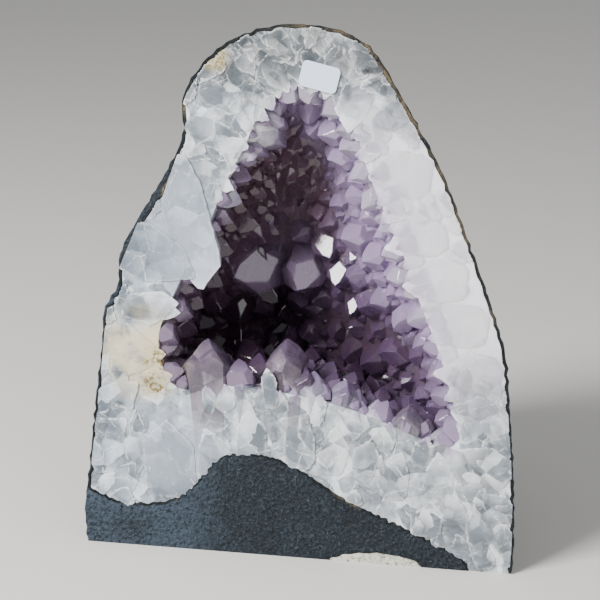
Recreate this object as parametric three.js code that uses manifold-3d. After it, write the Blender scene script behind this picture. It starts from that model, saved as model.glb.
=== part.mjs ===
// Amethyst geode: one half of an upright basalt nodule, sawn open and cut flat underneath.
// A basalt shell holds a thick wall of milky quartz, and the hollow in the wall is lined
// with a crust of amethyst crystals. Millimetres, +Z up, the sawn face towards -Y.
import * as THREE from "three";
import { mergeVertices } from "three/addons/utils/BufferGeometryUtils.js";
import Module from "manifold-3d";

const wasm = await Module();
wasm.setup();

// Driving dimensions of the stone. The sawn face leans back from the vertical, and its
// plane has its own axes: u across, v up along the face, w straight into the stone.
const FACE_Y = -73;
const LEAN = THREE.MathUtils.degToRad(6);
const STONE_DEPTH = 140;
const STONE_SPINE = new THREE.Vector2(0, 45);
const STONE_ROUNDNESS = 2.2;
const SIDE_TAPER = 0.0023;
const STONE_SIDES = 44;
const STONE_RINGS = 9;
const STONE_EVENING = 2;
const LUMP_HEIGHT = 3.2;

// The milky quartz, which follows the shell and thins out towards the back.
const RIND = 1.4;
const QUARTZ_DEPTH = 112;
const QUARTZ_CENTRE = new THREE.Vector2(0, 110);
const QUARTZ_RINGS = 5;
const QUARTZ_FACE = 1.1;

// The hill of rock that the quartz grew over, by the steps of its outline.
const HILL_SIDES = 44;

// The hollow, which is deepest low down on the left and rises gently to the top and right.
const HOLLOW_DEPTH = 84;
const HOLLOW_CENTRE = new THREE.Vector2(-28, 93);
const HOLLOW_STEPS = { sides: 26, rings: 5 };
const STEEP = 3.2;
const GENTLE = 1.6;

// The amethyst crust: a lining with crystals standing on it.
const CRUST_FRONT = 2.2;
const LINING = 4;
const LINING_STEPS = { sides: 16, rings: 4 };
const CRYSTAL_RADIUS = 10.2;
const CRYSTAL_SPACING = 0.86;
const CRYSTAL_TRIES = 900;
const CRYSTAL_LEAN = 0.26;
const THREE_SIDED = 0.6;

// How uneven the crystals are: shares of their radius for a corner's reach, the level at
// which its edge ends and the place of the apex, and the height of a point over its radius.
const UNEVEN = { reach: 0.1, level: 0.16, apex: 0.16 };
const POINT_HEIGHT = { least: 1.05, more: 0.3 };

// Clearance between pieces that touch, so that no two solids share a surface, and how far
// ahead of the face a form that opens another one starts.
const GAP = 0.3;
const AHEAD = 10;

// The outline of the sawn face, as (u, v), from the lower left corner up and round.
const STONE_EDGE = [
  [-103.4, 1], [-104.6, 16], [-102.4, 38], [-99.4, 70], [-96.2, 98], [-94.6, 117],
  [-88.6, 127], [-87.2, 143], [-78, 161], [-65.2, 182.5], [-57.2, 200], [-57.4, 217],
  [-51.5, 229], [-39, 242], [-20.2, 250.4], [-4, 252.5], [14, 250.6], [28.5, 244],
  [37.6, 232], [50.8, 211], [65.6, 185.4], [77.2, 157.8], [88.6, 128.8], [96.6, 104.6],
  [99.8, 76.8], [102.4, 50], [104, 15], [103.6, 2], [101, -30], [66, -72], [0, -86],
  [-66, -72], [-101, -30],
];

// The section of the hill of grey rock under the quartz, from the left over its top to the
// right, and closed well below the base.
const ROCK_HILL = [
  [-112, 28], [-101.6, 26.6], [-87, 21.2], [-61, 23.8], [-49.6, 32.6], [-36.4, 47],
  [-22.7, 49.6], [-3.6, 45.6], [7.5, 39.6], [23.6, 30.2], [44.5, 21.5], [64.7, 13],
  [81.4, 4], [86, -12], [70, -75], [0, -100], [-80, -90], [-118, -30],
];

// The mouth of the hollow, clockwise from the top.
const MOUTH_EDGE = [
  [-2, 226], [13, 222], [22, 210], [32, 183], [45, 156], [56, 128], [67, 101], [74.5, 76],
  [77, 63.5], [71, 58], [60, 61.5], [46, 67], [17.5, 76], [-11, 80.4], [-40, 81.5],
  [-52.5, 78.5], [-61.5, 81], [-67.4, 92.5], [-68, 106], [-59, 129], [-46, 154],
  [-38, 176], [-28, 195.5], [-19.6, 215], [-11, 223.5],
];

// Patches where the dark rind is thicker than elsewhere: height on the left side, extra, reach.
const THICK_RIND = [
  { v: 172, extra: 2.6, reach: 15 },
  { v: 148, extra: 1.6, reach: 6 },
  { v: 122, extra: 1.6, reach: 5 },
];

// How many steps the way round the rim is measured in, and over how many it is evened.
const LADDER_STEPS = 200;
const LADDER_EVENING = 9;

// Rows of quartz crystals across the rim, from the rind inwards. Roots and tips are shares of
// the way from the rind to the mouth, and the rest are millimetres.
const RIM_ROWS = [
  { root: -0.05, tip: 0.3, half: 6, pitch: 14, front: 0.1 },
  { root: 0.12, tip: 0.62, half: 7.4, pitch: 18, front: 0.5 },
  { root: 0.42, tip: 0.98, half: 8.8, pitch: 19, front: 0.9 },
];

// The share of a leader's half width that the rows keep clear of.
const LEADER_ROOM = 0.95;

// Single large crystals of the rim, each from its root to its tip in (u, v), with half its
// width and how far behind the face its front was cut.
const RIM_LEADERS = [
  { root: [-63, 190], tip: [-45, 127], half: 12, front: 0.3 },
  { root: [-88, 152], tip: [-53, 128], half: 15, front: 0.1 },
  { root: [-96, 119], tip: [-58, 119], half: 8.5, front: 0.6 },
  { root: [-99, 93], tip: [-65, 100], half: 15.5, front: 0.3 },
  { root: [-102, 63], tip: [-75, 77], half: 11, front: 0.2 },
  { root: [-102, 40], tip: [-72, 58], half: 11, front: 0.5 },
  { root: [-62, 25], tip: [-62, 64], half: 14, front: 0.3 },
  { root: [-41, 52], tip: [-46, 101], half: 11.4, front: 1.2 },
  { root: [-23, 52], tip: [-27, 92], half: 9.4, front: 0.9 },
  { root: [-9, 66], tip: [-8, 102], half: 9, front: 7 },
  { root: [-13, 72], tip: [-15, 92], half: 4.4, front: 1.4 },
  { root: [3, 54], tip: [4, 88], half: 9.4, front: 0.8 },
  { root: [16, 54], tip: [22, 85], half: 9, front: 1.1 },
  { root: [30, 49], tip: [36, 75], half: 7, front: 0.6 },
  { root: [48, 44], tip: [52, 75], half: 9, front: 1 },
  { root: [67, 38], tip: [70, 65], half: 9, front: 0.9 },
  { root: [27, 227], tip: [19, 199], half: 8.6, front: 0.5 },
  { root: [-33, 198], tip: [-13, 207], half: 7.2, front: 3 },
  { root: [-49, 223], tip: [-28, 212], half: 6.2, front: 0.4 },
  { root: [-55, 207], tip: [-26, 193], half: 7.2, front: 0.2 },
  { root: [-58, 193], tip: [-34, 173], half: 6.4, front: 0.6 },
  { root: [-40, 238], tip: [-20, 214], half: 6.2, front: 0.5 },
  { root: [-21, 248], tip: [-9, 220], half: 6.8, front: 0.3 },
  { root: [-4, 250], tip: [2, 220], half: 7.4, front: 0.6 },
  { root: [17, 247], tip: [10, 218], half: 6.8, front: 0.3 },
  { root: [58, 184], tip: [30, 188], half: 12, front: 0.3 },
  { root: [66, 158], tip: [38, 154], half: 9, front: 0.5 },
  { root: [76, 137], tip: [48, 138], half: 11.4, front: 0.2 },
  { root: [86, 115], tip: [57, 120], half: 11.4, front: 0.5 },
  { root: [93, 91], tip: [65, 99], half: 10.6, front: 0.3 },
  { root: [98, 68], tip: [73, 80], half: 10.4, front: 0.6 },
  { root: [100, 44], tip: [77, 61], half: 9.6, front: 0.3 },
];

// The cluster of large crystals that stands out from the back wall, each by its foot in
// (u, v, w), the way it points and its radius and length.
const BACK_CLUSTER = [
  { foot: [-22, 124, 76], aim: [0.05, 0.1, -1], radius: 11.5, length: 36 },
  { foot: [-36, 130, 74], aim: [-0.1, 0.05, -1], radius: 10, length: 32 },
  { foot: [-10, 132, 66], aim: [0.3, -0.1, -1], radius: 10, length: 28 },
  { foot: [-28, 112, 80], aim: [0, -0.25, -1], radius: 9.5, length: 32 },
  { foot: [-12, 116, 72], aim: [0.25, -0.35, -1], radius: 8.5, length: 26 },
  { foot: [-42, 116, 74], aim: [0.1, -0.3, -1], radius: 8.5, length: 26 },
  { foot: [-24, 142, 66], aim: [0.05, 0.35, -1], radius: 9, length: 26 },
];

// A price label's place and size, and the pale crystalline patch in the base.
const LABEL = { u: 7, v: 229, width: 18, height: 12, corner: 2.2, thick: 0.3, turn: -13 };
const PALE_PATCH = { u: 39.5, length: 42, height: 5, depth: 6, proud: -0.2 };

// A repeatable value from 0 to 1 for a crystal's number and one of its properties.
function chance(index, property) {
  const value = Math.sin(index * 127.1 + property * 311.7) * 43758.5453;
  return value - Math.floor(value);
}

// The same, spread evenly from -1 to 1.
function vary(index, property) {
  return 2 * chance(index, property) - 1;
}

// A point of the stone from its place on the sawn face and its depth behind it.
function facePoint(u, v, w) {
  return new THREE.Vector3(
    u,
    FACE_Y + w * Math.cos(LEAN) + v * Math.sin(LEAN),
    v * Math.cos(LEAN) - w * Math.sin(LEAN),
  );
}

// A place of a form that grows narrower towards the back, as the whole stone does: its
// width shrinks by the same share with each millimetre behind the face.
function taperedPoint(u, v, w) {
  return facePoint(u * (1 - SIDE_TAPER * w), v, w);
}

// A direction given in the face's own axes, as a unit vector.
function faceDirection(u, v, w) {
  return facePoint(u, v, w).sub(facePoint(0, 0, 0)).normalize();
}

// A closed smooth curve through the points, sampled at even spacing.
function closedCurve(points, count) {
  const through = points.map(([u, v]) => new THREE.Vector3(u, v, 0));
  const curve = new THREE.CatmullRomCurve3(through, true, "centripetal");
  curve.arcLengthDivisions = 800;
  return curve
    .getSpacedPoints(count)
    .slice(0, count)
    .map((p) => new THREE.Vector2(p.x, p.y));
}

// Outward unit normals of a closed ring of points.
function ringNormals(ring) {
  const turn = THREE.ShapeUtils.isClockWise(ring) ? -1 : 1;
  return ring.map((point, i) => {
    const before = ring.at(i - 1);
    const after = ring[(i + 1) % ring.length];
    const along = after.clone().sub(before).normalize();
    return new THREE.Vector2(along.y * turn, -along.x * turn);
  });
}

// A ring pushed outwards by a distance, or inwards where it is negative.
function offsetRing(ring, distance) {
  const normals = ringNormals(ring);
  return ring.map((point, i) => {
    const amount = typeof distance === "function" ? distance(point) : distance;
    return point.clone().addScaledVector(normals[i], amount);
  });
}

// The mean of a closed ring's points up to a number of steps either side of one of them.
function averageNear(ring, at, reach) {
  const sum = new THREE.Vector2();
  for (let k = -reach; k <= reach; k++) {
    sum.add(ring[(at + k + ring.length) % ring.length]);
  }
  return sum.divideScalar(2 * reach + 1);
}

// A closed mesh as a solid for joining and cutting.
function solidOf(positions, triangles) {
  const geometry = new THREE.BufferGeometry();
  geometry.setAttribute("position", new THREE.Float32BufferAttribute(positions, 3));
  geometry.setIndex(triangles);
  return solidFromGeometry(geometry);
}

// The same from any three.js geometry, turned to face out.
function solidFromGeometry(source) {
  const geometry = source.clone();
  geometry.deleteAttribute("normal");
  geometry.deleteAttribute("uv");
  const merged = mergeVertices(geometry, 1e-4);
  const index = new Uint32Array(merged.index.array);
  if (enclosedVolume(merged) < 0) {
    index.reverse();
  }
  return new wasm.Manifold(
    new wasm.Mesh({
      numProp: 3,
      vertProperties: new Float32Array(merged.attributes.position.array),
      triVerts: index,
    }),
  );
}

// Signed volume of an indexed closed mesh.
function enclosedVolume(geometry) {
  const corners = [0, 1, 2].map(() => new THREE.Vector3());
  const { position } = geometry.attributes;
  const { array } = geometry.index;
  let six = 0;
  for (let i = 0; i < array.length; i += 3) {
    corners.forEach((corner, k) => corner.fromBufferAttribute(position, array[i + k]));
    six += corners[0].dot(corners[1].clone().cross(corners[2]));
  }
  return six / 6;
}

// A solid as three.js geometry with flat faces.
function geometryOf(solid) {
  const { vertProperties, triVerts, numProp } = solid.getMesh();
  const count = vertProperties.length / numProp;
  const positions = new Float32Array(count * 3);
  for (let i = 0; i < count; i++) {
    positions.set(vertProperties.subarray(i * numProp, i * numProp + 3), i * 3);
  }
  const geometry = new THREE.BufferGeometry();
  geometry.setAttribute("position", new THREE.BufferAttribute(positions, 3));
  geometry.setIndex(new THREE.BufferAttribute(triVerts, 1));
  const flat = geometry.toNonIndexed();
  flat.computeVertexNormals();
  return flat;
}

// A solid lofted through rings of equal length and closed by an apex.
// The first ring is flat, and its cap is filled from its outline.
function loft(outline, rings, apex) {
  const sides = outline.length;
  const positions = [];
  rings.flat().forEach((p) => positions.push(p.x, p.y, p.z));
  positions.push(apex.x, apex.y, apex.z);
  const triangles = THREE.ShapeUtils.triangulateShape(outline, []).flat();
  const turned = THREE.ShapeUtils.isClockWise(outline);
  for (let ring = 0; ring < rings.length; ring++) {
    for (let side = 0; side < sides; side++) {
      const next = (side + 1) % sides;
      const a = ring * sides + side;
      const b = ring * sides + next;
      const last = ring === rings.length - 1;
      const c = last ? rings.length * sides : a + sides;
      const d = last ? rings.length * sides : b + sides;
      const faces = last ? [b, a, c] : [b, a, c, b, c, d];
      triangles.push(...(turned ? faces.toReversed() : faces));
    }
  }
  return solidOf(positions, triangles);
}

// Where a rounded form stands at a share of a quarter turn: depth and width from 0 to 1.
function roundedStep(share, roundness) {
  const angle = (share * Math.PI) / 2;
  return {
    depth: Math.sin(angle) ** (2 / roundness),
    width: Math.cos(angle) ** (2 / roundness),
  };
}

// A box as a solid, to cut with, given by its centre, size and turn about Y.
function cuttingBox(centre, size, turn = 0) {
  const geometry = new THREE.BoxGeometry(size.x, size.y, size.z);
  geometry.rotateY(turn);
  geometry.translate(centre.x, centre.y, centre.z);
  return solidFromGeometry(geometry);
}

// Everything under the flat base, and the chip knocked off its right front corner.
function belowTheBase() {
  const ground = cuttingBox(new THREE.Vector3(0, 0, -100), new THREE.Vector3(600, 600, 200));
  const chipTurn = THREE.MathUtils.degToRad(-9.5);
  const chip = cuttingBox(
    new THREE.Vector3(113, -52, -8),
    new THREE.Vector3(70, 60, 20),
    chipTurn,
  );
  return ground.add(chip);
}

// How far the weathered skin stands out at a point, fading to nothing at the sawn face.
function skinLump(point, step) {
  const swell = Math.sin(point.x / 19 + point.z / 31) + Math.sin(point.y / 15 - point.z / 27 + 2);
  const knob = Math.sin(point.x / 8 + 1) * Math.sin(point.y / 9 - 2) * Math.cos(point.z / 10);
  return LUMP_HEIGHT * (0.5 * swell + 0.45 * knob) * Math.min(1, 3 * step);
}

// The face's outline as it becomes further back, where its notches and bulges even out.
function evenedRing(outline, step) {
  const share = Math.min(1, 3 * step);
  return outline.map((point, side) =>
    point.clone().lerp(averageNear(outline, side, STONE_EVENING), share),
  );
}

// The whole sawn half of the stone, before the quartz is taken out of it.
function stoneBody() {
  const outline = closedCurve(STONE_EDGE, STONE_SIDES);
  const middle = facePoint(STONE_SPINE.x, STONE_SPINE.y, 0);
  const rings = [];
  for (let ring = 0; ring < STONE_RINGS; ring++) {
    const step = ring / STONE_RINGS;
    const { depth, width } = roundedStep(step, STONE_ROUNDNESS);
    rings.push(
      evenedRing(outline, step).map((point) => {
        const place = STONE_SPINE.clone().lerp(point, width);
        const smooth = taperedPoint(place.x, place.y, depth * STONE_DEPTH);
        const outwards = smooth.clone().sub(middle).normalize();
        return smooth.addScaledVector(outwards, skinLump(smooth, step));
      }),
    );
  }
  const apex = facePoint(STONE_SPINE.x, STONE_SPINE.y, STONE_DEPTH);
  return loft(outline, rings, apex).subtract(belowTheBase());
}

// Thickness of the dark rind beside a point of the face's outline.
function rindAt(point) {
  const patches = point.x < 0 ? THICK_RIND : [];
  return patches.reduce(
    (sum, { v, extra, reach }) => sum + extra * Math.exp(-(((point.y - v) / reach) ** 2)),
    RIND,
  );
}

// The outer form of the quartz before the rock is taken out of it: the stone's own form
// inside the rind, wider or narrower all round by a distance, carried on ahead of the face.
function quartzEnvelope(grow) {
  const edge = closedCurve(STONE_EDGE, STONE_SIDES);
  const outline = offsetRing(edge, (point) => grow - rindAt(point));
  const rings = [outline.map(({ x, y }) => facePoint(x, y, -AHEAD))];
  for (let ring = 0; ring < QUARTZ_RINGS; ring++) {
    const step = ring / QUARTZ_RINGS;
    const { depth, width } = roundedStep(step, STONE_ROUNDNESS);
    rings.push(
      evenedRing(outline, step).map((point) => {
        const place = QUARTZ_CENTRE.clone().lerp(point, width);
        return taperedPoint(place.x, place.y, depth * (QUARTZ_DEPTH + 2 * grow));
      }),
    );
  }
  const apex = facePoint(QUARTZ_CENTRE.x, QUARTZ_CENTRE.y, QUARTZ_DEPTH + 2 * grow);
  return loft(outline, rings, apex);
}

// The hill of grey rock under the quartz, running straight back from the face.
function rockHill(grow) {
  const ring = offsetRing(closedCurve(ROCK_HILL, HILL_SIDES), grow);
  const depths = [-AHEAD, STONE_DEPTH];
  const rings = depths.map((w) => ring.map(({ x, y }) => facePoint(x, y, w)));
  return loft(ring, rings, facePoint(0, 0, STONE_DEPTH + AHEAD));
}

// The outer form of the quartz, wider or narrower all round by a distance.
function quartzBody(grow) {
  return quartzEnvelope(grow).subtract(rockHill(-grow));
}

// How steeply the hollow's wall falls away from the face beside a point of the mouth.
function wallSteepness(point) {
  const arm = point.clone().sub(HOLLOW_CENTRE).normalize();
  const leftAndDown = THREE.MathUtils.clamp(0.5 - 0.75 * arm.x - 0.55 * arm.y, 0, 1);
  return THREE.MathUtils.lerp(GENTLE, STEEP, leftAndDown);
}

// A point of the hollow's wall below a point of the mouth, at a share of the depth.
function wallPoint(edge, share, grow) {
  const width = 1 - share ** wallSteepness(edge);
  const place = edge.clone().sub(HOLLOW_CENTRE).multiplyScalar(width).add(HOLLOW_CENTRE);
  return facePoint(place.x, place.y, share * (HOLLOW_DEPTH + grow));
}

// The space of the hollow, wider or narrower all round by a distance, and open to the front.
function hollowSpace(grow, steps = HOLLOW_STEPS) {
  const outline = offsetRing(closedCurve(MOUTH_EDGE, steps.sides), grow);
  const rings = [outline.map(({ x, y }) => facePoint(x, y, -AHEAD))];
  for (let ring = 0; ring < steps.rings; ring++) {
    const share = Math.sin((ring / steps.rings) * (Math.PI / 2));
    rings.push(outline.map((edge) => wallPoint(edge, share, grow)));
  }
  const apex = facePoint(HOLLOW_CENTRE.x, HOLLOW_CENTRE.y, HOLLOW_DEPTH + grow);
  return loft(outline, rings, apex);
}

// One quartz crystal: a column that widens upwards, under a point with a face for each side.
// It stands on the origin along +Z, and its corners and apex are uneven. Six sides are usual,
// and three where three faces of the point have outgrown the rest.
function crystal({ radius, length, footRadius, number, corners = 6 }) {
  const positions = [];
  const steepness = POINT_HEIGHT.least + POINT_HEIGHT.more * chance(number, 1);
  const pointHeight = Math.min(radius * steepness, length * 0.8);
  for (const level of [0, 1]) {
    for (let k = 0; k < corners; k++) {
      const angle = (k / corners) * 2 * Math.PI;
      const reach = level ? radius * (1 + UNEVEN.reach * vary(number, 10 + k)) : footRadius;
      const drop = level ? radius * UNEVEN.level * vary(number, 20 + k) : 0;
      const height = level * (length - pointHeight + drop);
      positions.push(reach * Math.cos(angle), reach * Math.sin(angle), height);
    }
  }
  const aside = radius * UNEVEN.apex;
  positions.push(aside * vary(number, 2), aside * vary(number, 3), length);
  const apex = 2 * corners;
  const triangles = [];
  for (let k = 0; k < corners; k++) {
    const next = (k + 1) % corners;
    triangles.push(k, next, corners + next, k, corners + next, corners + k);
    triangles.push(corners + k, corners + next, apex);
    if (k > 1) {
      triangles.push(0, k, k - 1);
    }
  }
  return { positions, triangles };
}

// A crystal set on its foot, pointing along a direction and turned about itself.
function placedCrystal({ foot, aim, spin, ...shape }) {
  const { positions, triangles } = crystal(shape);
  const geometry = new THREE.BufferGeometry();
  geometry.setAttribute("position", new THREE.Float32BufferAttribute(positions, 3));
  geometry.setIndex(triangles);
  geometry.rotateZ(spin);
  const stand = new THREE.Quaternion().setFromUnitVectors(new THREE.Vector3(0, 0, 1), aim);
  geometry.applyQuaternion(stand);
  geometry.translate(foot.x, foot.y, foot.z);
  return solidFromGeometry(geometry);
}

// A crystal lying in the rim from root to tip and cut level by the saw, each at its own
// slightly different angle.
function rimCrystal({ root, tip, half, front, number }, grow) {
  const along = tip.clone().sub(root);
  const dip = 0.08 + 0.06 * chance(number, 4);
  const aim = faceDirection(along.x, along.y, dip * along.length());
  const axisDepth = front + 0.2 * half;
  const radius = half + grow;
  const foot = facePoint(root.x, root.y, axisDepth).addScaledVector(aim, -grow);
  const solid = placedCrystal({
    foot,
    aim,
    spin: (Math.PI / 6) * (number % 2) + 0.12 * vary(number, 5),
    radius,
    footRadius: radius * (0.55 + 0.15 * chance(number, 6)),
    length: along.length() + 2 * grow,
    number,
  });
  const tilt = 0.03;
  const into = faceDirection(tilt * vary(number, 7), tilt * vary(number, 8), 1);
  const middle = root.clone().lerp(tip, 0.6);
  const cut = facePoint(middle.x, middle.y, front - grow);
  return solid.trimByPlane(into.toArray(), into.dot(cut));
}

// What of a solid lies deeper than a distance behind the sawn face.
function behindFace(solid, distance) {
  const into = faceDirection(0, 0, 1);
  return solid.trimByPlane(into.toArray(), into.dot(facePoint(0, 0, distance)));
}

// The shortest distance from a point to the line between a crystal's root and its tip.
function distanceToCrystal(point, { root, tip }) {
  const along = tip.clone().sub(root);
  const share = point.clone().sub(root).dot(along) / along.lengthSq();
  return point.distanceTo(root.clone().addScaledVector(along, THREE.MathUtils.clamp(share, 0, 1)));
}

// The outline of the quartz on the face above the base: inside the rind and over the hill.
function quartzOutline(count) {
  const edge = closedCurve(STONE_EDGE, 4 * STONE_SIDES);
  const inside = offsetRing(edge, (point) => -rindAt(point));
  const hill = closedCurve(ROCK_HILL, 4 * HILL_SIDES).filter(
    ({ x, y }) => y > 0 && x > inside[0].x,
  );
  const [, hillStart] = ROCK_HILL;
  const [, hillTop] = hillStart;
  const sides = inside.filter(({ x, y }) => y > (x < 0 ? hillTop : 0));
  const around = [...sides, ...hill.toReversed()].map(({ x, y }) => [x, y]);
  return closedCurve(around, count);
}

// For each point of the quartz outline, the point of the mouth that it faces.
function rimLadder() {
  const outer = quartzOutline(LADDER_STEPS);
  const mouth = closedCurve(MOUTH_EDGE, LADDER_STEPS);
  const nearest = outer.map((point) =>
    mouth.reduce((best, q) => (q.distanceTo(point) < best.distanceTo(point) ? q : best)),
  );
  return outer.map((point, i) => ({
    outer: point,
    inner: averageNear(nearest, i, LADDER_EVENING),
  }));
}

// The crystals of one row, spaced along the rim, left out where a leader already stands.
function rimRow(row, rowNumber, ladder, leaders) {
  const made = [];
  let since = row.pitch;
  let last = null;
  ladder.forEach(({ outer, inner }, i) => {
    const middle = outer.clone().lerp(inner, (row.root + row.tip) / 2);
    since += last ? middle.distanceTo(last) : 0;
    last = middle;
    if (since < row.pitch || outer.y < 1) {
      return;
    }
    since = 0;
    const number = 100 * rowNumber + i;
    const width = 1 + 0.22 * vary(number, 30);
    const stretch = 0.07 * vary(number, 31);
    const candidate = {
      root: outer.clone().lerp(inner, row.root),
      tip: outer.clone().lerp(inner, row.tip + stretch),
      half: row.half * width,
      front: row.front + 0.25 * vary(number, 32),
      number,
    };
    const taken = leaders.some(
      (leader) => distanceToCrystal(middle, leader) < leader.half * LEADER_ROOM,
    );
    if (!taken) {
      made.push(candidate);
    }
  });
  return made;
}

// Every crystal of the rim: the leaders and the rows between them.
function rimCrystals() {
  const leaders = RIM_LEADERS.map((leader, i) => ({
    ...leader,
    root: new THREE.Vector2(...leader.root),
    tip: new THREE.Vector2(...leader.tip),
    number: 900 + i,
  }));
  const ladder = rimLadder();
  const rows = RIM_ROWS.flatMap((row, i) => rimRow(row, i + 1, ladder, leaders));
  return [...leaders, ...rows];
}

// All rim crystals joined, each larger all round by a distance.
function rimSolid(list, grow) {
  return wasm.Manifold.union(list.map((one) => rimCrystal(one, grow)));
}

// The milky quartz: the wall between shell and hollow, with the rim crystals on its face.
function quartzWall(rim) {
  const body = quartzBody(-GAP / 2);
  const wall = behindFace(body, QUARTZ_FACE).subtract(hollowSpace(0));
  const crystals = behindFace(rimSolid(rim, 0).intersect(body), 0);
  return largestBody(wall.add(crystals).subtract(belowTheBase()));
}

// The largest of a solid's separate bodies.
function largestBody(solid) {
  return solid
    .decompose()
    .reduce((best, body) => (body.volume() > best.volume() ? body : best));
}

// The feet of the crust's crystals, spread evenly over the hollow's wall.
function crustCrystals() {
  const mouth = closedCurve(MOUTH_EDGE, 360);
  const made = BACK_CLUSTER.map(({ foot, aim, radius, length }, number) => ({
    foot: facePoint(...foot),
    aim: faceDirection(...aim),
    radius,
    length,
    number: 1000 + number,
  }));
  for (let k = 1; k <= CRYSTAL_TRIES; k++) {
    const turn = (k * 0.7548776662) % 1;
    const share = 0.03 + 0.95 * ((k * 0.569840291) % 1);
    const at = Math.floor(turn * mouth.length);
    const edge = mouth[at];
    const beside = mouth[(at + 4) % mouth.length];
    const foot = wallPoint(edge, share, -GAP);
    const across = wallPoint(beside, share, -GAP).sub(foot);
    const deeper = wallPoint(edge, share + 0.02, -GAP).sub(foot);
    const inward = across.cross(deeper).normalize();
    const towards = facePoint(HOLLOW_CENTRE.x + 22, HOLLOW_CENTRE.y + 25, 18).sub(foot);
    if (inward.dot(towards) < 0) {
      inward.negate();
    }
    const radius = CRYSTAL_RADIUS * (0.62 + 0.5 * share + 0.25 * vary(k, 40));
    const crowded = made.some(
      (one) => one.foot.distanceTo(foot) < CRYSTAL_SPACING * (one.radius + radius),
    );
    if (crowded) {
      continue;
    }
    const aim = inward
      .add(new THREE.Vector3(vary(k, 41), vary(k, 42), vary(k, 43)).multiplyScalar(CRYSTAL_LEAN))
      .normalize();
    const corners = chance(k, 46) < THREE_SIDED ? 3 : 6;
    const length = LINING / 2 + 1 + radius * (1.1 + 0.6 * chance(k, 44));
    made.push({ foot, aim, radius, length, corners, number: k });
  }
  return made;
}

// The amethyst crust: lining and crystals, kept inside the hollow and clear of the rim.
function amethystCrust(rim) {
  const space = hollowSpace(-GAP);
  const crystals = crustCrystals().map((one) =>
    placedCrystal({
      ...one,
      foot: one.foot.clone().addScaledVector(one.aim, LINING / 2),
      spin: 6 * chance(one.number, 45),
      footRadius: one.radius * (one.corners === 3 ? 1.25 : 1),
    }),
  );
  const lining = space.subtract(hollowSpace(-GAP - LINING, LINING_STEPS));
  const grown = wasm.Manifold.union([lining, ...crystals]).intersect(space);
  return largestBody(behindFace(grown, CRUST_FRONT).subtract(rimSolid(rim, GAP)));
}

// The pale patch, a lumpy lens bedded in the foot of the face, larger by a distance.
function palePatch(grow) {
  const { u, length, height, depth } = PALE_PATCH;
  const ball = new THREE.SphereGeometry(1, 20, 10);
  const { position } = ball.attributes;
  const point = new THREE.Vector3();
  for (let i = 0; i < position.count; i++) {
    point.fromBufferAttribute(position, i);
    const lump = 1 + 0.07 * Math.sin(9 * point.x + 1) * Math.cos(7 * point.z + 4 * point.x);
    position.setXYZ(
      i,
      u + point.x * (length / 2 + grow) * lump,
      FACE_Y + point.y * (depth + grow),
      point.z * (height + grow) * lump,
    );
  }
  return solidFromGeometry(ball);
}

// The patch cut back to the saw's face and to the base.
function palePatchSolid() {
  return behindFace(palePatch(0), PALE_PATCH.proud).subtract(belowTheBase());
}

// The basalt: the stone without the room that quartz and patch take.
function basaltShell() {
  return largestBody(
    stoneBody()
      .subtract(quartzBody(GAP / 2))
      .subtract(palePatch(GAP)),
  );
}

// The blank paper label, a rounded rectangle just clear of the face.
function priceLabel() {
  const { u, v, width, height, corner, thick, turn } = LABEL;
  const outline = new THREE.Shape();
  const [x, y] = [width / 2 - corner, height / 2 - corner];
  const corners = [[x, -y, -90], [x, y, 0], [-x, y, 90], [-x, -y, 180]];
  corners.forEach(([cx, cy, start]) => {
    const from = THREE.MathUtils.degToRad(start);
    outline.absarc(cx, cy, corner, from, from + Math.PI / 2, false);
  });
  const sheet = new THREE.ExtrudeGeometry(outline, {
    depth: thick,
    bevelEnabled: false,
    curveSegments: 4,
  });
  sheet.rotateZ(THREE.MathUtils.degToRad(turn));
  sheet.rotateX(Math.PI / 2 - LEAN);
  const place = facePoint(u, v, -GAP);
  sheet.translate(place.x, place.y, place.z);
  return sheet;
}

// A named mesh with its own finish.
function namedMesh(name, geometry, finish) {
  const mesh = new THREE.Mesh(geometry, new THREE.MeshStandardMaterial(finish));
  mesh.name = name;
  return mesh;
}

// The geode put together.
function geode() {
  const rim = rimCrystals();
  const group = new THREE.Group();
  group.add(
    namedMesh("basalt_shell", geometryOf(basaltShell()), {
      color: "#46525f",
      roughness: 0.8,
      metalness: 0,
    }),
    namedMesh("quartz_wall", geometryOf(quartzWall(rim)), {
      color: "#c9cbd0",
      roughness: 0.3,
      metalness: 0,
    }),
    namedMesh("amethyst_crust", geometryOf(amethystCrust(rim)), {
      color: "#7a5f86",
      roughness: 0.12,
      metalness: 0,
    }),
    namedMesh("pale_inclusion", geometryOf(palePatchSolid()), {
      color: "#c9c4b2",
      roughness: 0.6,
      metalness: 0,
    }),
    namedMesh("price_label", priceLabel(), { color: "#dfe6ee", roughness: 0.7, metalness: 0 }),
  );
  return group;
}

export default geode();
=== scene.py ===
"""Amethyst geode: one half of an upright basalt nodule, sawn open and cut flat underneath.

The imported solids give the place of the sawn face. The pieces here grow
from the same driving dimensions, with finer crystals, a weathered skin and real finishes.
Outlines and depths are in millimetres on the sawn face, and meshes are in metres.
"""

import logging
import math
from collections.abc import Callable, Iterator, Sequence
from contextlib import contextmanager
from dataclasses import dataclass, replace
from enum import Enum, IntEnum

import bpy
import numpy as np
from mathutils import Matrix, Vector

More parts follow.
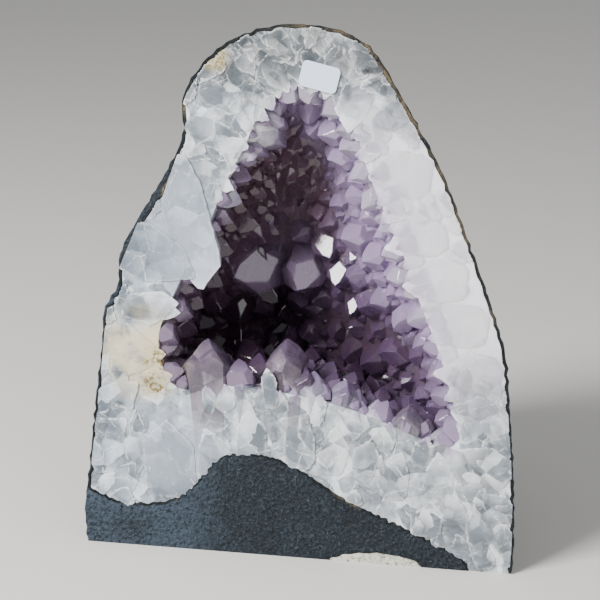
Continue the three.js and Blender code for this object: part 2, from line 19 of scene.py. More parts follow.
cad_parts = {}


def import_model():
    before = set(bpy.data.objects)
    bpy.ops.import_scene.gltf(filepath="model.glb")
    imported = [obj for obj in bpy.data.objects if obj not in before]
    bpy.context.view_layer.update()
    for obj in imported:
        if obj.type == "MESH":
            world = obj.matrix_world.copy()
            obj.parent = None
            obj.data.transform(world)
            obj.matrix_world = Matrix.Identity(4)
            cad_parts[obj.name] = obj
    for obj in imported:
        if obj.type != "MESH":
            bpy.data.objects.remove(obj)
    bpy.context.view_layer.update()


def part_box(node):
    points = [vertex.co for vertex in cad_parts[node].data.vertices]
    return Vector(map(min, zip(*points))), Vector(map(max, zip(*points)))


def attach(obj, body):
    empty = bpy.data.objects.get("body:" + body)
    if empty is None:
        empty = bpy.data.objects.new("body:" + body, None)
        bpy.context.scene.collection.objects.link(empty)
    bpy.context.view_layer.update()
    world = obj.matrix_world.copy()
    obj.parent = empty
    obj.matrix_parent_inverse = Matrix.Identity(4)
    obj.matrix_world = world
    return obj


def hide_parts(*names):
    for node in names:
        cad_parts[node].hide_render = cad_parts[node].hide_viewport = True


LOG = logging.getLogger("geode")
MM = 0.001
FULL_TURN = 2 * math.pi
BODY = "root"

Point = tuple[float, float]
Triple = tuple[float, float, float]
Array = np.ndarray
Object = bpy.types.Object
Material = bpy.types.Material
Socket = bpy.types.NodeSocket
Fade = Socket | tuple[Socket, float, float]


class Node(Enum):
    """The geode's pieces, by the names of their solids."""

    BASALT = "basalt_shell"
    QUARTZ = "quartz_wall"
    AMETHYST = "amethyst_crust"
    PATCH = "pale_inclusion"
    LABEL = "price_label"


class Join(Enum):
    """The ways in which two closed bodies are brought together."""

    ADD = "UNION"
    CUT = "DIFFERENCE"
    KEEP_SHARED = "INTERSECT"


class Mark(Enum):
    """What is kept on a mesh: its name, its kind of value, and whether on faces or corners."""

    GROWN = ("grown", "FLOAT_VECTOR", "CORNER")
    CRYSTAL = ("crystal", "INT", "FACE")
    CONTACT = ("contact", "FLOAT", "FACE")


class Trait(IntEnum):
    """What chance decides about a crystal. Some take several numbers in a row."""

    LEAN_ACROSS = 7
    LEAN_ALONG = 8
    COLUMN_SIDE = 10
    POINT_FACE = 20
    ROW_WIDTH = 30
    ROW_REACH = 31
    ROW_FRONT = 32
    RIM_TONE = 33
    RIM_SLANT = 34
    CRUST_RADIUS = 40
    CRUST_SWAY = 41
    CRUST_LENGTH = 44
    CRUST_SPIN = 45
    CRUST_TONE = 47
    CRUST_STRAY = 48
    SHOULDER = 50
    CORNER = 52
    POINT_SPIN = 61
    POINT_TONE = 62
    SHARD_TURN = 71
    SHARD_DEPTH = 72
    SHARD_AIM = 73
    SHARD_WIDTH = 74
    SHARD_LENGTH = 75
    SHARD_FRONT = 76
    BESIDE_SHIFT = 81
    BESIDE_DEPTH = 82
    BESIDE_BACK = 83
    BESIDE_SPREAD = 84
    BESIDE_SIZE = 85


# Outlines on the sawn face, as (u, v): u across and v up along the face.
STONE_EDGE: Sequence[Point] = (
    (-103.4, 1), (-104.6, 16), (-102.4, 38), (-99.4, 70), (-96.2, 98), (-94.6, 117),
    (-88.6, 127), (-87.2, 143), (-78, 161), (-65.2, 182.5), (-57.2, 200), (-57.4, 217),
    (-51.5, 229), (-39, 242), (-20.2, 250.4), (-4, 252.5), (14, 250.6), (28.5, 244),
    (37.6, 232), (50.8, 211), (65.6, 185.4), (77.2, 157.8), (88.6, 128.8), (96.6, 104.6),
    (99.8, 76.8), (102.4, 50), (104, 15), (103.6, 2), (101, -30), (66, -72), (0, -86),
    (-66, -72), (-101, -30),
)
ROCK_HILL: Sequence[Point] = (
    (-112, 28), (-101.6, 26.6), (-87, 21.2), (-61, 23.8), (-49.6, 32.6), (-36.4, 47),
    (-22.7, 49.6), (-3.6, 45.6), (7.5, 39.6), (23.6, 30.2), (44.5, 21.5), (64.7, 13),
    (81.4, 4), (86, -12), (70, -75), (0, -100), (-80, -90), (-118, -30),
)
MOUTH_EDGE: Sequence[Point] = (
    (-2, 226), (13, 222), (22, 210), (32, 183), (45, 156), (56, 128), (67, 101), (74.5, 76),
    (77, 63.5), (71, 58), (60, 61.5), (46, 67), (17.5, 76), (-11, 80.4), (-40, 81.5),
    (-52.5, 78.5), (-61.5, 81), (-67.4, 92.5), (-68, 106), (-59, 129), (-46, 154),
    (-38, 176), (-28, 195.5), (-19.6, 215), (-11, 223.5),
)


def chance(index: float, trait: float) -> float:
    """A repeatable value from 0 to 1 for a crystal's number and one of its traits."""
    value = math.sin(index * 127.1 + trait * 311.7) * 43758.5453
    return value - math.floor(value)


def vary(index: float, trait: float) -> float:
    """The same, spread evenly from -1 to 1."""
    return 2 * chance(index, trait) - 1


@dataclass(frozen=True)
class SawnFace:
    """The plane that the saw left: u across, v up along it, w straight into the stone."""

    foot_y: float
    lean: float = math.radians(6)

    def points(self, u: Array, v: Array, w: Array | float) -> Array:
        """Places in the geode's frame.

        Args:
            u: Millimetres across.
            v: Millimetres up along the face.
            w: Millimetres behind the face.

        Returns:
            One row of x, y and z in metres for each place.
        """
        u, v, w = np.broadcast_arrays(np.asarray(u, float), v, w)
        y = self.foot_y + w * math.cos(self.lean) + v * math.sin(self.lean)
        z = v * math.cos(self.lean) - w * math.sin(self.lean)
        return np.stack([u, y, z], axis=-1) * MM

    def point(self, u: float, v: float, w: float) -> Vector:
        """One such place."""
        return Vector(self.points(u, v, w))

    def direction(self, u: float, v: float, w: float) -> Vector:
        """A direction given along the face's own axes, one unit long."""
        return (self.point(u, v, w) - self.point(0, 0, 0)).normalized()

    def reach_of(self, places: Array, *way: float) -> Array:
        """Millimetres from the face's foot to places in the geode's frame, along a way."""
        return (places - np.array(self.point(0, 0, 0))) @ np.array(self.direction(*way)) / MM

    def height_of(self, places: Array) -> Array:
        """Millimetres up along the face."""
        return self.reach_of(places, 0, 1, 0)

    def depth_of(self, places: Array) -> Array:
        """Millimetres behind the face."""
        return self.reach_of(places, 0, 0, 1)


def curve_span(points: Sequence[Array], steps: int) -> Array:
    """The stretch of a centripetal curve between the middle two of four points.

    Args:
        points: The four points.
        steps: How many samples to take.

    Returns:
        One row of u and v for each sample, without the stretch's end.
    """
    p0, p1, p2, p3 = points
    knots = [np.linalg.norm(b - a) ** 0.5 for a, b in ((p0, p1), (p1, p2), (p2, p3))]
    before, here, after = knots
    leave = (p1 - p0) / before - (p2 - p0) / (before + here) + (p2 - p1) / here
    arrive = (p2 - p1) / here - (p3 - p1) / (here + after) + (p3 - p2) / after
    t = np.linspace(0, 1, steps, endpoint=False)[:, None]
    cubic = 2 * p1 - 2 * p2 + (leave + arrive) * here
    square = -3 * p1 + 3 * p2 - (2 * leave + arrive) * here
    return p1 + leave * here * t + square * t**2 + cubic * t**3


def evenly_spaced(ring: Array, count: int) -> Array:
    """A closed ring's own outline, sampled again at even spacing.

    Args:
        ring: The ring's points, the first one not repeated.
        count: How many samples to take.

    Returns:
        One row of u and v for each sample, from the first point onwards.
    """
    line = np.vstack([ring, ring[:1]])
    run = np.concatenate([[0], np.cumsum(np.linalg.norm(np.diff(line, axis=0), axis=1))])
    places = np.arange(count) / count * run[-1]
    return np.column_stack([np.interp(places, run, line[:, axis]) for axis in (0, 1)])


def closed_curve(points: Sequence[Point] | Array, count: int) -> Array:
    """A closed smooth curve through points, sampled at even spacing.

    Args:
        points: The points that the curve passes through.
        count: How many samples to take.

    Returns:
        One row of u and v for each sample, from the first point onwards.
    """
    through = np.array(points, float)
    around = zip(*(np.roll(through, shift, axis=0) for shift in (1, 0, -1, -2)), strict=True)
    return evenly_spaced(np.vstack([curve_span(four, steps=24) for four in around]), count)


def outward_normals(ring: Array) -> Array:
    """Unit normals of a closed ring.

    Args:
        ring: The ring's points, either way round.

    Returns:
        One row for each point, pointing out of the ring.
    """
    after = np.roll(ring, -1, axis=0)
    along = after - np.roll(ring, 1, axis=0)
    along /= np.linalg.norm(along, axis=1)[:, None]
    area = np.sum(ring[:, 0] * after[:, 1] - after[:, 0] * ring[:, 1])
    return np.column_stack([along[:, 1], -along[:, 0]]) * (1 if area > 0 else -1)


def offset_ring(ring: Array, distance: Array | float) -> Array:
    """A ring pushed outwards by a distance, or inwards where it is negative."""
    return ring + outward_normals(ring) * np.reshape(distance, (-1, 1))


def averaged_ring(ring: Array, reach: int) -> Array:
    """Each point's mean with its neighbours up to a number of steps away on both sides."""
    shifts = range(-reach, reach + 1)
    return sum(np.roll(ring, shift, axis=0) for shift in shifts) / len(shifts)


def ring_noise(ring: Array, size: float, height: float, seed: int, waves: int = 9) -> Array:
    """Small repeatable bumps round a closed ring.

    Args:
        ring: The ring's points.
        size: Millimetres from one bump to the next.
        height: Millimetres that the bumps reach out and in.
        seed: A number that sets these bumps apart from others.
        waves: How many waves of different lengths are added up.

    Returns:
        One distance for each point.
    """
    run = np.linalg.norm(np.roll(ring, -1, axis=0) - ring, axis=1).sum()
    turns = np.arange(len(ring)) / len(ring) * FULL_TURN
    total = np.zeros(len(ring))
    for wave in range(waves):
        beats = max(1, round(run / size * (0.4 + 1.3 * chance(seed, wave))))
        total += np.sin(beats * turns + FULL_TURN * chance(seed, wave + 50))
    return height * total / math.sqrt(waves)


def deselect_all() -> None:
    """Leaves nothing selected, so that an operator acts on what is chosen after it."""
    if bpy.context.object and bpy.context.object.mode != "OBJECT":
        bpy.ops.object.mode_set(mode="OBJECT")
    bpy.ops.object.select_all(action="DESELECT")


def activate(obj: Object) -> None:
    """Selects one object alone and makes it the active one.

    Args:
        obj: The object.
    """
    deselect_all()
    obj.select_set(True)
    bpy.context.view_layer.objects.active = obj


@contextmanager
def editing() -> Iterator[None]:
    """Edit mode of the active object with all of it selected, and back afterwards.

    Yields:
        Nothing, while the mode lasts.
    """
    bpy.ops.object.mode_set(mode="EDIT")
    bpy.ops.mesh.select_all(action="SELECT")
    yield
    bpy.ops.object.mode_set(mode="OBJECT")


def added(name: str, primitive: Callable[..., object], **settings: object) -> Object:
    """Adds a primitive.

    Args:
        name: The new object's name.
        primitive: The operator that adds it.
        settings: The operator's settings.

    Returns:
        The new object, the only one that is selected.
    """
    deselect_all()
    primitive(**settings)
    obj = bpy.context.object
    obj.name = name
    return obj


def read(items: bpy.types.bpy_prop_collection, name: str, width: int = 0) -> Array:
    """One property of all the vertices, corners or faces of a mesh.

    Args:
        items: The mesh's vertices, corners or faces, or an attribute's values.
        name: The property's name.
        width: How many numbers each item has, or 0 where it has one whole number.

    Returns:
        One row, or one whole number, for each item.
    """
    values = np.empty(len(items) * max(1, width), float if width else int)
    items.foreach_get(name, values)
    return values.reshape(-1, width) if width else values


def read_points(obj: Object) -> Array:
    """The places of a piece's vertices, one row each."""
    return read(obj.data.vertices, "co", 3)


def write_points(obj: Object, places: Array) -> None:
    """Moves a piece's vertices to new places."""
    obj.data.vertices.foreach_set("co", places.astype(float).ravel())
    obj.data.update()


def mark(obj: Object, kind: Mark, values: Array | Sequence[float] | float) -> Object:
    """Keeps values on a mesh, for its finish or a later step to read.

    Args:
        obj: The piece.
        kind: What is kept. The number of the crystal that a face belongs to, 1 for a face
        of dark contact and 0 for plain rock, or how each corner grew: its bloom, a bright
        outline that is partly painted highlight, the way from its crystal's root to its
        tip, and the crystal's tone, which on rim crystals carries painted shade.
        values: A row for each face or corner, or one for all of them.

    Returns:
        The same piece.
    """
    name, value_type, domain = kind.value
    attributes = obj.data.attributes
    if name in attributes:
        attributes.remove(attributes[name])
    data = attributes.new(name, value_type, domain).data
    grown = kind is Mark.GROWN
    rows = np.broadcast_to(values, (len(data), 3) if grown else (len(data),))
    rows = rows.astype(int if kind is Mark.CRYSTAL else float)
    data.foreach_set("vector" if grown else "value", rows.ravel())
    return obj


def apply_modifier(obj: Object, kind: str, **settings: object) -> None:
    """Adds a modifier to a piece and applies it.

    Args:
        obj: The piece.
        kind: The modifier's type.
        settings: Its properties.
    """
    activate(obj)
    modifier = obj.modifiers.new(kind.lower(), kind)
    for name, value in settings.items():
        setattr(modifier, name, value)
    bpy.ops.object.modifier_apply(modifier=modifier.name)


def joined(target: Object, tools: Object | Sequence[Object], how: Join) -> Object:
    """Joins or cuts a body with others.

    Args:
        target: The body to change.
        tools: The other body or bodies, which are used up.
        how: The way in which they are brought together.

    Returns:
        The changed body.
    """
    many = not isinstance(tools, Object)
    others = tools if many else [tools]
    bundle = bpy.data.collections.new("tools")
    for other in others:
        bundle.objects.link(other)
    operands = {"operand_type": "COLLECTION", "collection": bundle} if many else {"object": tools}
    apply_modifier(target, "BOOLEAN", operation=how.value, solver="MANIFOLD", **operands)
    for other in others:
        bpy.data.objects.remove(other)
    bpy.data.collections.remove(bundle)
    mesh = target.data
    uses = np.bincount(read(mesh.loops, "edge_index"), minlength=len(mesh.edges))
    if np.any(uses != 2):
        LOG.warning("%s is open after %s", target.name, how.name)
    return target


def copy_of(obj: Object, name: str) -> Object:
    """A copy of an object with a mesh of its own.

    Args:
        obj: The object.
        name: The copy's name.

    Returns:
        The copy.
    """
    twin = obj.copy()
    twin.data = obj.data.copy()
    twin.name = name
    bpy.context.collection.objects.link(twin)
    return twin


def cut_away(obj: Object, place: Vector, outwards: Vector) -> None:
    """Cuts a closed body with a plane and closes it again.

    Args:
        obj: The body, whose object sits at the origin.
        place: A point of the plane.
        outwards: The plane's normal, on the side that is taken off.
    """
    activate(obj)
    with editing():
        bpy.ops.mesh.bisect(
            plane_co=place, plane_no=outwards, use_fill=True, clear_outer=True, threshold=1e-6
        )


def largest_part(obj: Object) -> Object:
    """What is left of a body once its loose crumbs are taken off.

    Args:
        obj: The body.

    Returns:
        Its largest part, under the same name.
    """
    name = obj.name
    activate(obj)
    with editing():
        bpy.ops.mesh.separate(type="LOOSE")
    parts = sorted(bpy.context.selected_objects, key=lambda part: len(part.data.polygons))
    for crumb in parts[:-1]:
        bpy.data.objects.remove(crumb)
    parts[-1].name = name
    return parts[-1]


def shaped(obj: Object, places: Array) -> Object:
    """Sets a closed primitive on a form.

    Args:
        obj: The primitive, the active object.
        places: The new places of its vertices.

    Returns:
        The same object, facing out.
    """
    write_points(obj, places)
    with editing():
        bpy.ops.mesh.normals_make_consistent(inside=False)
    return obj


def steps_round(places: Array, count: int) -> Array:
    """Which of a number of even steps round the Z axis each place stands at."""
    turn = np.arctan2(places[:, 1], places[:, 0]) / FULL_TURN
    return np.round(turn * count).astype(int) % count


def wrapped_sphere(
    name: str, segments: int, rings: int, form: Callable[[float], Array]
) -> Object:
    """A sphere primitive whose rings are all set on a form.

    Args:
        name: The piece's name.
        segments: Points in each ring.
        rings: Rings from the front pole to the back pole, an even number.
        form: Gives a ring's places for its way from the front pole, 0, to the back pole, 1.

    Returns:
        The closed body, facing out.
    """
    sphere = bpy.ops.mesh.primitive_uv_sphere_add
    obj = added(name, sphere, segments=segments, ring_count=rings, radius=1)
    unit = read_points(obj)
    side = steps_round(unit, segments)
    level = np.round(np.arccos(np.clip(unit[:, 2], -1, 1)) / math.pi * rings).astype(int)
    places = np.empty_like(unit)
    for number in range(rings + 1):
        here = level == number
        places[here] = form(number / rings)[side[here]]
    return shaped(obj, places)


def ring_stack(name: str, rings: Sequence[Array]) -> tuple[Object, Array, Array]:
    """A closed body through several rings of the same number of points.

    Args:
        name: The piece's name.
        rings: The rings' places, from one end to the other.

    Returns:
        The body, and for each vertex its ring and its point of that ring.
    """
    count = len(rings[0])
    circle = bpy.ops.mesh.primitive_circle_add
    obj = added(name, circle, vertices=count, radius=1, fill_type="NGON")
    with editing():
        for _ in rings[1:]:
            bpy.ops.mesh.extrude_region_move(TRANSFORM_OT_translate={"value": (0, 0, 1)})
    unit = read_points(obj)
    level, point = np.round(unit[:, 2]).astype(int), steps_round(unit, count)
    return shaped(obj, np.array(rings)[level, point]), level, point


def block(
    name: str, centre: Vector, size: Sequence[float], turn: Sequence[float] = (0, 0, 0)
) -> Object:
    """A box to cut with.

    Args:
        name: The box's name.
        centre: Its middle, in metres.
        size: Its size along its own axes, in metres.
        turn: Its turns about X, Y and Z.

    Returns:
        The box.
    """
    obj = added(name, bpy.ops.mesh.primitive_cube_add, size=1, location=centre, rotation=turn)
    obj.scale = size
    bpy.ops.object.transform_apply(location=True, rotation=True, scale=True)
    return obj


def roughened(obj: Object, size: float, height: float, share: Array, depth: int = 3) -> None:
    """Raises and sinks a surface by cloudy noise.

    Args:
        obj: The piece.
        size: Millimetres from one bump to the next.
        height: Millimetres between the deepest and the highest place.
        share: How much each vertex takes part, from 0 to 1.
        depth: How many finer layers the noise has.
    """
    pattern = bpy.data.textures.new(f"{obj.name} bumps of {size} mm", "CLOUDS")
    pattern.noise_scale = size * MM
    pattern.noise_depth = depth
    group = obj.vertex_groups.new(name="rough")
    for index in np.nonzero(share > 0)[0]:
        group.add([int(index)], float(share[index]), "REPLACE")
    apply_modifier(
        obj,
        "DISPLACE",
        texture=pattern,
        texture_coords="LOCAL",
        strength=height * MM,
        mid_level=0.5,
        vertex_group=group.name,
    )
    obj.vertex_groups.clear()


def smooth_by_angle(obj: Object, degrees: float) -> None:
    """Shades a piece smooth, with sharp edges where its faces meet at more than an angle."""
    activate(obj)
    bpy.ops.object.shade_smooth_by_angle(angle=math.radians(degrees))


def linear(code: str) -> tuple[float, float, float, float]:
    """An sRGB hex colour as linear red, green, blue and alpha."""
    shares = [int(code[i : i + 2], 16) / 255 for i in (1, 3, 5)]
    red, green, blue = (
        s / 12.92 if s <= 0.04045 else ((s + 0.055) / 1.055) ** 2.4 for s in shares
    )
    return (red, green, blue, 1.0)


def grains(place: Socket, size: float, detail: float = 3) -> dict[str, object]:
    """The inputs of a cloudy pattern whose patches are a number of millimetres across."""
    return {"Vector": place, "Scale": 1 / size, "Detail": detail, "Roughness": 0.6}


class Shading:
    """The node tree of one finish, with the piece's own coordinates in millimetres."""

    def __init__(self, tree: bpy.types.NodeTree) -> None:
        """Clears the tree and adds the coordinates.

        Args:
            tree: A new material's node tree.
        """
        tree.nodes.clear()
        self.tree = tree
        metres = self.add("TexCoord", out="Object")
        inputs = {0: metres, 1: (1 / MM, 1 / MM, 1 / MM)}
        self.place = self.add("VectorMath", inputs, operation="MULTIPLY")
        self.x, self.y, self.z = self.add("SeparateXYZ", {0: self.place}, None)

    def add(
        self,
        kind: str,
        inputs: dict | None = None,
        out: str | int | None = 0,
        **settings: object,
    ) -> Socket | bpy.types.bpy_prop_collection:
        """Adds a node with its settings and links.

        Args:
            kind: The node's type, without its first word.
            inputs: Values, sRGB hex colours, or sockets to link from, by name or number.
            out: The name or number of the output to use, or None for all of them.
            settings: Properties of the node. stops sets a colour ramp's places and colours.

        Returns:
            The output, or all of them.
        """
        node = self.tree.nodes.new("ShaderNode" + kind)
        for stop, (place, code) in enumerate(settings.pop("stops", ())):
            ramp = node.color_ramp.elements
            element = ramp[stop] if stop < len(ramp) else ramp.new(place)
            element.position, element.color = place, linear(code)
        for name, value in settings.items():
            setattr(node, name, value)
        for name, value in (inputs or {}).items():
            if isinstance(value, Socket):
                self.tree.links.new(value, node.inputs[name])
            else:
                value = linear(value) if isinstance(value, str) else value
                node.inputs[name].default_value = value
        return node.outputs if out is None or not node.outputs else node.outputs[out]

    def mask(self, strength: float, *fades: Fade) -> Socket | float:
        """How far a layer shows: its strength times what fades it in.

        Args:
            strength: Its share where nothing fades it.
            fades: Sockets from 0 to 1, or other sockets with their values where the layer
                is gone and where it is full, between which it rises smoothly.

        Returns:
            The product.
        """
        share = strength
        for fade in fades:
            if isinstance(fade, tuple):
                inputs = dict(zip(("Value", "From Min", "From Max"), fade, strict=True))
                fade = self.add("MapRange", inputs, interpolation_type="SMOOTHSTEP")
            share = self.add("Math", {0: share, 1: fade}, operation="MULTIPLY", use_clamp=True)
        return share

    def paint(
        self,
        base: Socket | str,
        colour: Socket | str,
        strength: float,
        *fades: Fade,
        blend: str = "MIX",
    ) -> Socket:
        """Lays a colour over another one.

        Args:
            base: The colour below.
            colour: The colour on top.
            strength: Its share where nothing fades it.
            fades: What fades it in, as for a mask.
            blend: How it is mixed with the colour below.

        Returns:
            The new colour.
        """
        inputs = {0: self.mask(strength, *fades), 6: base, 7: colour}
        return self.add("Mix", inputs, 2, data_type="RGBA", blend_type=blend)


@dataclass(frozen=True)
class Finish:
    """A finish: its colour and relief, and how its surface takes light."""

    title: str
    roughness: float
    bump: float
    relief: float

    def material(self) -> Material:
        """Builds the node material.

        Returns:
            The material, under the finish's title.
        """
        material = bpy.data.materials.new(self.title)
        material.use_nodes = True
        nodes = Shading(material.node_tree)
        colour, height = self.painted(nodes)
        inputs = {"Height": height, "Strength": self.bump, "Distance": self.relief * MM}
        normal = nodes.add("Bump", inputs)
        surface = {"Base Color": colour, "Roughness": self.roughness, "Normal": normal}
        surface |= self.light(nodes, height)
        shader = nodes.add("BsdfPrincipled", surface)
        nodes.add("OutputMaterial", {"Surface": shader} | self.inside(nodes))
        return material

    def painted(self, nodes: Shading) -> tuple[Socket, Socket]:
        """The colour and the relief."""
        raise NotImplementedError

    def light(self, nodes: Shading, height: Socket) -> dict[str, object]:
        """What sets this surface's shader apart, by input."""
        return {}

    def inside(self, nodes: Shading) -> dict[str, Socket]:
        """What light meets inside the piece, by the output's input."""
        return {}


@dataclass(frozen=True)
class Tint:
    """A colour of small places: its strength, and the millimetres where it ends and is full."""

    colour: str
    strength: float
    end: float
    full: float
    fades: tuple[Fade, ...] = ()


@dataclass(frozen=True)
class MilkyQuartz(Finish):
    """Milky quartz, sawn and polished: cloudy white with clear margins and fine veins.

    Light enters a few millimetres, so its shadows are soft, and the polish gives broad
    soft highlights. Tips at the hollow are tinted lilac, and iron stains one part of the
    rim cream. Its colour also holds painted light: each rim crystal is darker at its root
    and lighter at its tip and on one side, a painted shade, and its bright outline is
    partly a painted highlight. Places of the small stains are given as (u, v) on the face.
    """

    title: str = "milky quartz, sawn and polished"
    roughness: float = 0.29
    duller: float = 0.13
    bump: float = 0.22
    relief: float = 0.6
    cloud: float = 13
    facet: float = 11
    vein: float = 15
    crooked: float = 6
    mouth_side: Triple = (0.93, 0, 0.364)
    face: SawnFace = SawnFace(0)
    calm: Sequence[Point] = ((-58, 168), (-52, 143), (-61, 47))
    cracks: Sequence[Point] = ((28, 232), (30.2, 232.6), (32.4, 232.4), (34.6, 233.3), (36.6, 235))
    stains: Sequence[Point] = ((-76, 96),)
    golds: Sequence[Point] = ((-70, 92), (-42, 236), (-70, 80))

    def painted(self, nodes: Shading) -> tuple[Socket, Socket]:
        """The colour and the relief.

        Args:
            nodes: The node tree.

        Returns:
            Both sockets.
        """
        grown = nodes.add("Attribute", None, "Vector", attribute_name=Mark.GROWN.value[0])
        bloom, along, tone = nodes.add("SeparateXYZ", {0: grown}, None)
        clouds = nodes.add("TexNoise", grains(nodes.place, self.cloud, 5))
        fine = nodes.add("TexNoise", grains(nodes.place, 3.2, 4))
        pushed = self._pushed(nodes)
        inputs = {0: pushed, 1: (1, 1, 0.28)}
        upright = nodes.add("VectorMath", inputs, operation="MULTIPLY")
        shade = 0.0
        for pattern, share in (
            (clouds, 0.38),
            (self._planes(nodes, pushed, self.facet), 0.36),
            (self._planes(nodes, pushed, self.facet * 0.4), 0.1),
            (nodes.add("TexNoise", grains(upright, 2.6, 5)), 0.14),
        ):
            inputs = {0: pattern, 1: share, 2: shade}
            shade = nodes.add("Math", inputs, operation="MULTIPLY_ADD", use_clamp=True)
        stops = [(0.3, "#666f77"), (0.5, "#a1a8af"), (0.68, "#e2e6ea")]
        base = nodes.add("ValToRGB", {0: shade}, stops=stops)
        # Each crystal's tone: a random share, and on rim crystals painted shade, darker at the
        # root and lighter at the tip and on one side.
        base = nodes.paint(base, "#eceef2", 0.65, (tone, 0, 1))
        base = nodes.paint(base, "#747c84", 0.75, (tone, 0, -1.1))
        base = self._lit_sides(nodes, base)
        # Bright flecked outlines, whiter margins with a painted highlight along the cut edges,
        # and veins: healed cracks a few tenths of a millimetre wide.
        fleck = nodes.add("TexNoise", grains(nodes.place, 2.4))
        base = nodes.paint(base, "#fbfbfc", 0.95, bloom, (fleck, 0.36, 0.6))
        inputs = {"Vector": pushed, "Scale": 1 / self.vein}
        vein = nodes.add("TexVoronoi", inputs, "Distance", feature="DISTANCE_TO_EDGE")
        base = nodes.paint(base, "#fbfbfa", 0.65, (vein, 0.03, 0.0), (fine, 0.42, 0.62))
        # Whole points are clear down to their roots, and all tips turn lilac.
        clear = ((bloom, 0, -1), (along, 0.1, 0.55))
        glass = nodes.paint("#4a3d49", "#867883", 1, (shade, 0.35, 0.62))
        base = nodes.paint(base, glass, 0.9, *clear)
        tip = nodes.paint("#927aa6", "#413049", 1, *clear)
        base = nodes.paint(base, tip, 0.85, (along, 0.6, 1))
        rust = nodes.add("TexNoise", grains(nodes.place, 2, 4))
        gold = (Tint("#cabd94", 0.6, 8.5, 3), Tint("#82703c", 1, 8.5, 3, ((rust, 0.5, 0.58),)))
        for centres, tints in (
            (self.calm, (Tint("#a3abb8", 0.6, 24.84, 10.8),)),
            (self.cracks, (Tint("#3c4043", 0.85, 2.21, 1.04),)),
            (self.stains, (Tint("#d8ccab", 1, 29.92, 8.5, ((clouds, 0.3, 0.55),)),)),
            (self.golds, gold),
        ):
            for centre in centres:
                inputs = {0: nodes.place, 1: self.face.point(*centre, 0) / MM}
                away = nodes.add("VectorMath", inputs, "Value", operation="DISTANCE")
                for tint in tints:
                    near = (away, tint.end, tint.full)
                    base = nodes.paint(base, tint.colour, tint.strength, near, *tint.fades)
        return base, fine

    def _lit_sides(self, nodes: Shading, base: Socket) -> Socket:
        """The broad tones of the rim: pale and smooth at the right, grey at the top.

        Args:
            nodes: The node tree.
            base: The colour so far.

        Returns:
            The new colour.
        """
        right, low = (nodes.x, 15, 45), (nodes.z, 60, 120)
        base = nodes.paint(base, "#faf5ff", 0.8, right, (nodes.z, 225, 185), low)
        inputs = {0: nodes.place, 1: self.mouth_side}
        beside = nodes.add("VectorMath", inputs, "Value", operation="DOT_PRODUCT")
        base = nodes.paint(base, "#cbb9dc", 0.55, (beside, 115, 93), right, low)
        base = nodes.paint(base, "#a09f9c", 0.75, (nodes.z, 205, 240), blend="MULTIPLY")
        left = ((nodes.x, 0, -60), (nodes.z, 200, 150))
        return nodes.paint(base, "#d6e2ee", 0.6, *left, blend="MULTIPLY")

    def _planes(self, nodes: Shading, where: Socket, size: float) -> Socket:
        """The tones of fracture planes: each has its own, and grows lighter to one side.

        Args:
            nodes: The node tree.
            where: The coordinates.
            size: How far the planes reach, in millimetres.

        Returns:
            A value from 0 to 1.
        """
        cell = nodes.add("TexVoronoi", {"Vector": where, "Scale": 1 / size}, None)
        own = nodes.add("SeparateColor", {0: cell["Color"]})
        offset, way = (
            nodes.add("VectorMath", {0: first, 1: second}, operation="SUBTRACT")
            for first, second in ((where, cell["Position"]), (cell["Color"], (0.5, 0.5, 0.5)))
        )
        slope = nodes.add("VectorMath", {0: offset, 1: way}, "Value", operation="DOT_PRODUCT")
        inputs = {0: slope, 1: 1.6 / size, 2: own}
        return nodes.add("Math", inputs, operation="MULTIPLY_ADD", use_clamp=True)

    def _pushed(self, nodes: Shading) -> Socket:
        """The coordinates, pushed about so that veins and facets are crooked.

        Args:
            nodes: The node tree.

        Returns:
            The new coordinates.
        """
        inputs = {"Vector": nodes.place, "Scale": 1 / self.cloud, "Detail": 3.0}
        swirl = nodes.add("TexNoise", inputs, "Color")
        inputs = {0: swirl, 1: (self.crooked,) * 3, 2: nodes.place}
        return nodes.add("VectorMath", inputs, operation="MULTIPLY_ADD")

    def light(self, nodes: Shading, height: Socket) -> dict[str, object]:
        """A polish that is finer in some patches, and light that enters a few millimetres.

        Args:
            nodes: The node tree.
            height: The relief.

        Returns:
            The shader's inputs.
        """
        inputs = {"Value": height, "From Min": 0.3, "From Max": 0.7}
        inputs |= {"To Min": self.roughness - self.duller, "To Max": self.roughness + self.duller}
        return {
            "Roughness": nodes.add("MapRange", inputs),
            "IOR": 1.54,
            "Subsurface Weight": 0.4,
            "Subsurface Radius": (1.0, 0.95, 1.0),
            "Subsurface Scale": 3 * MM,
        }


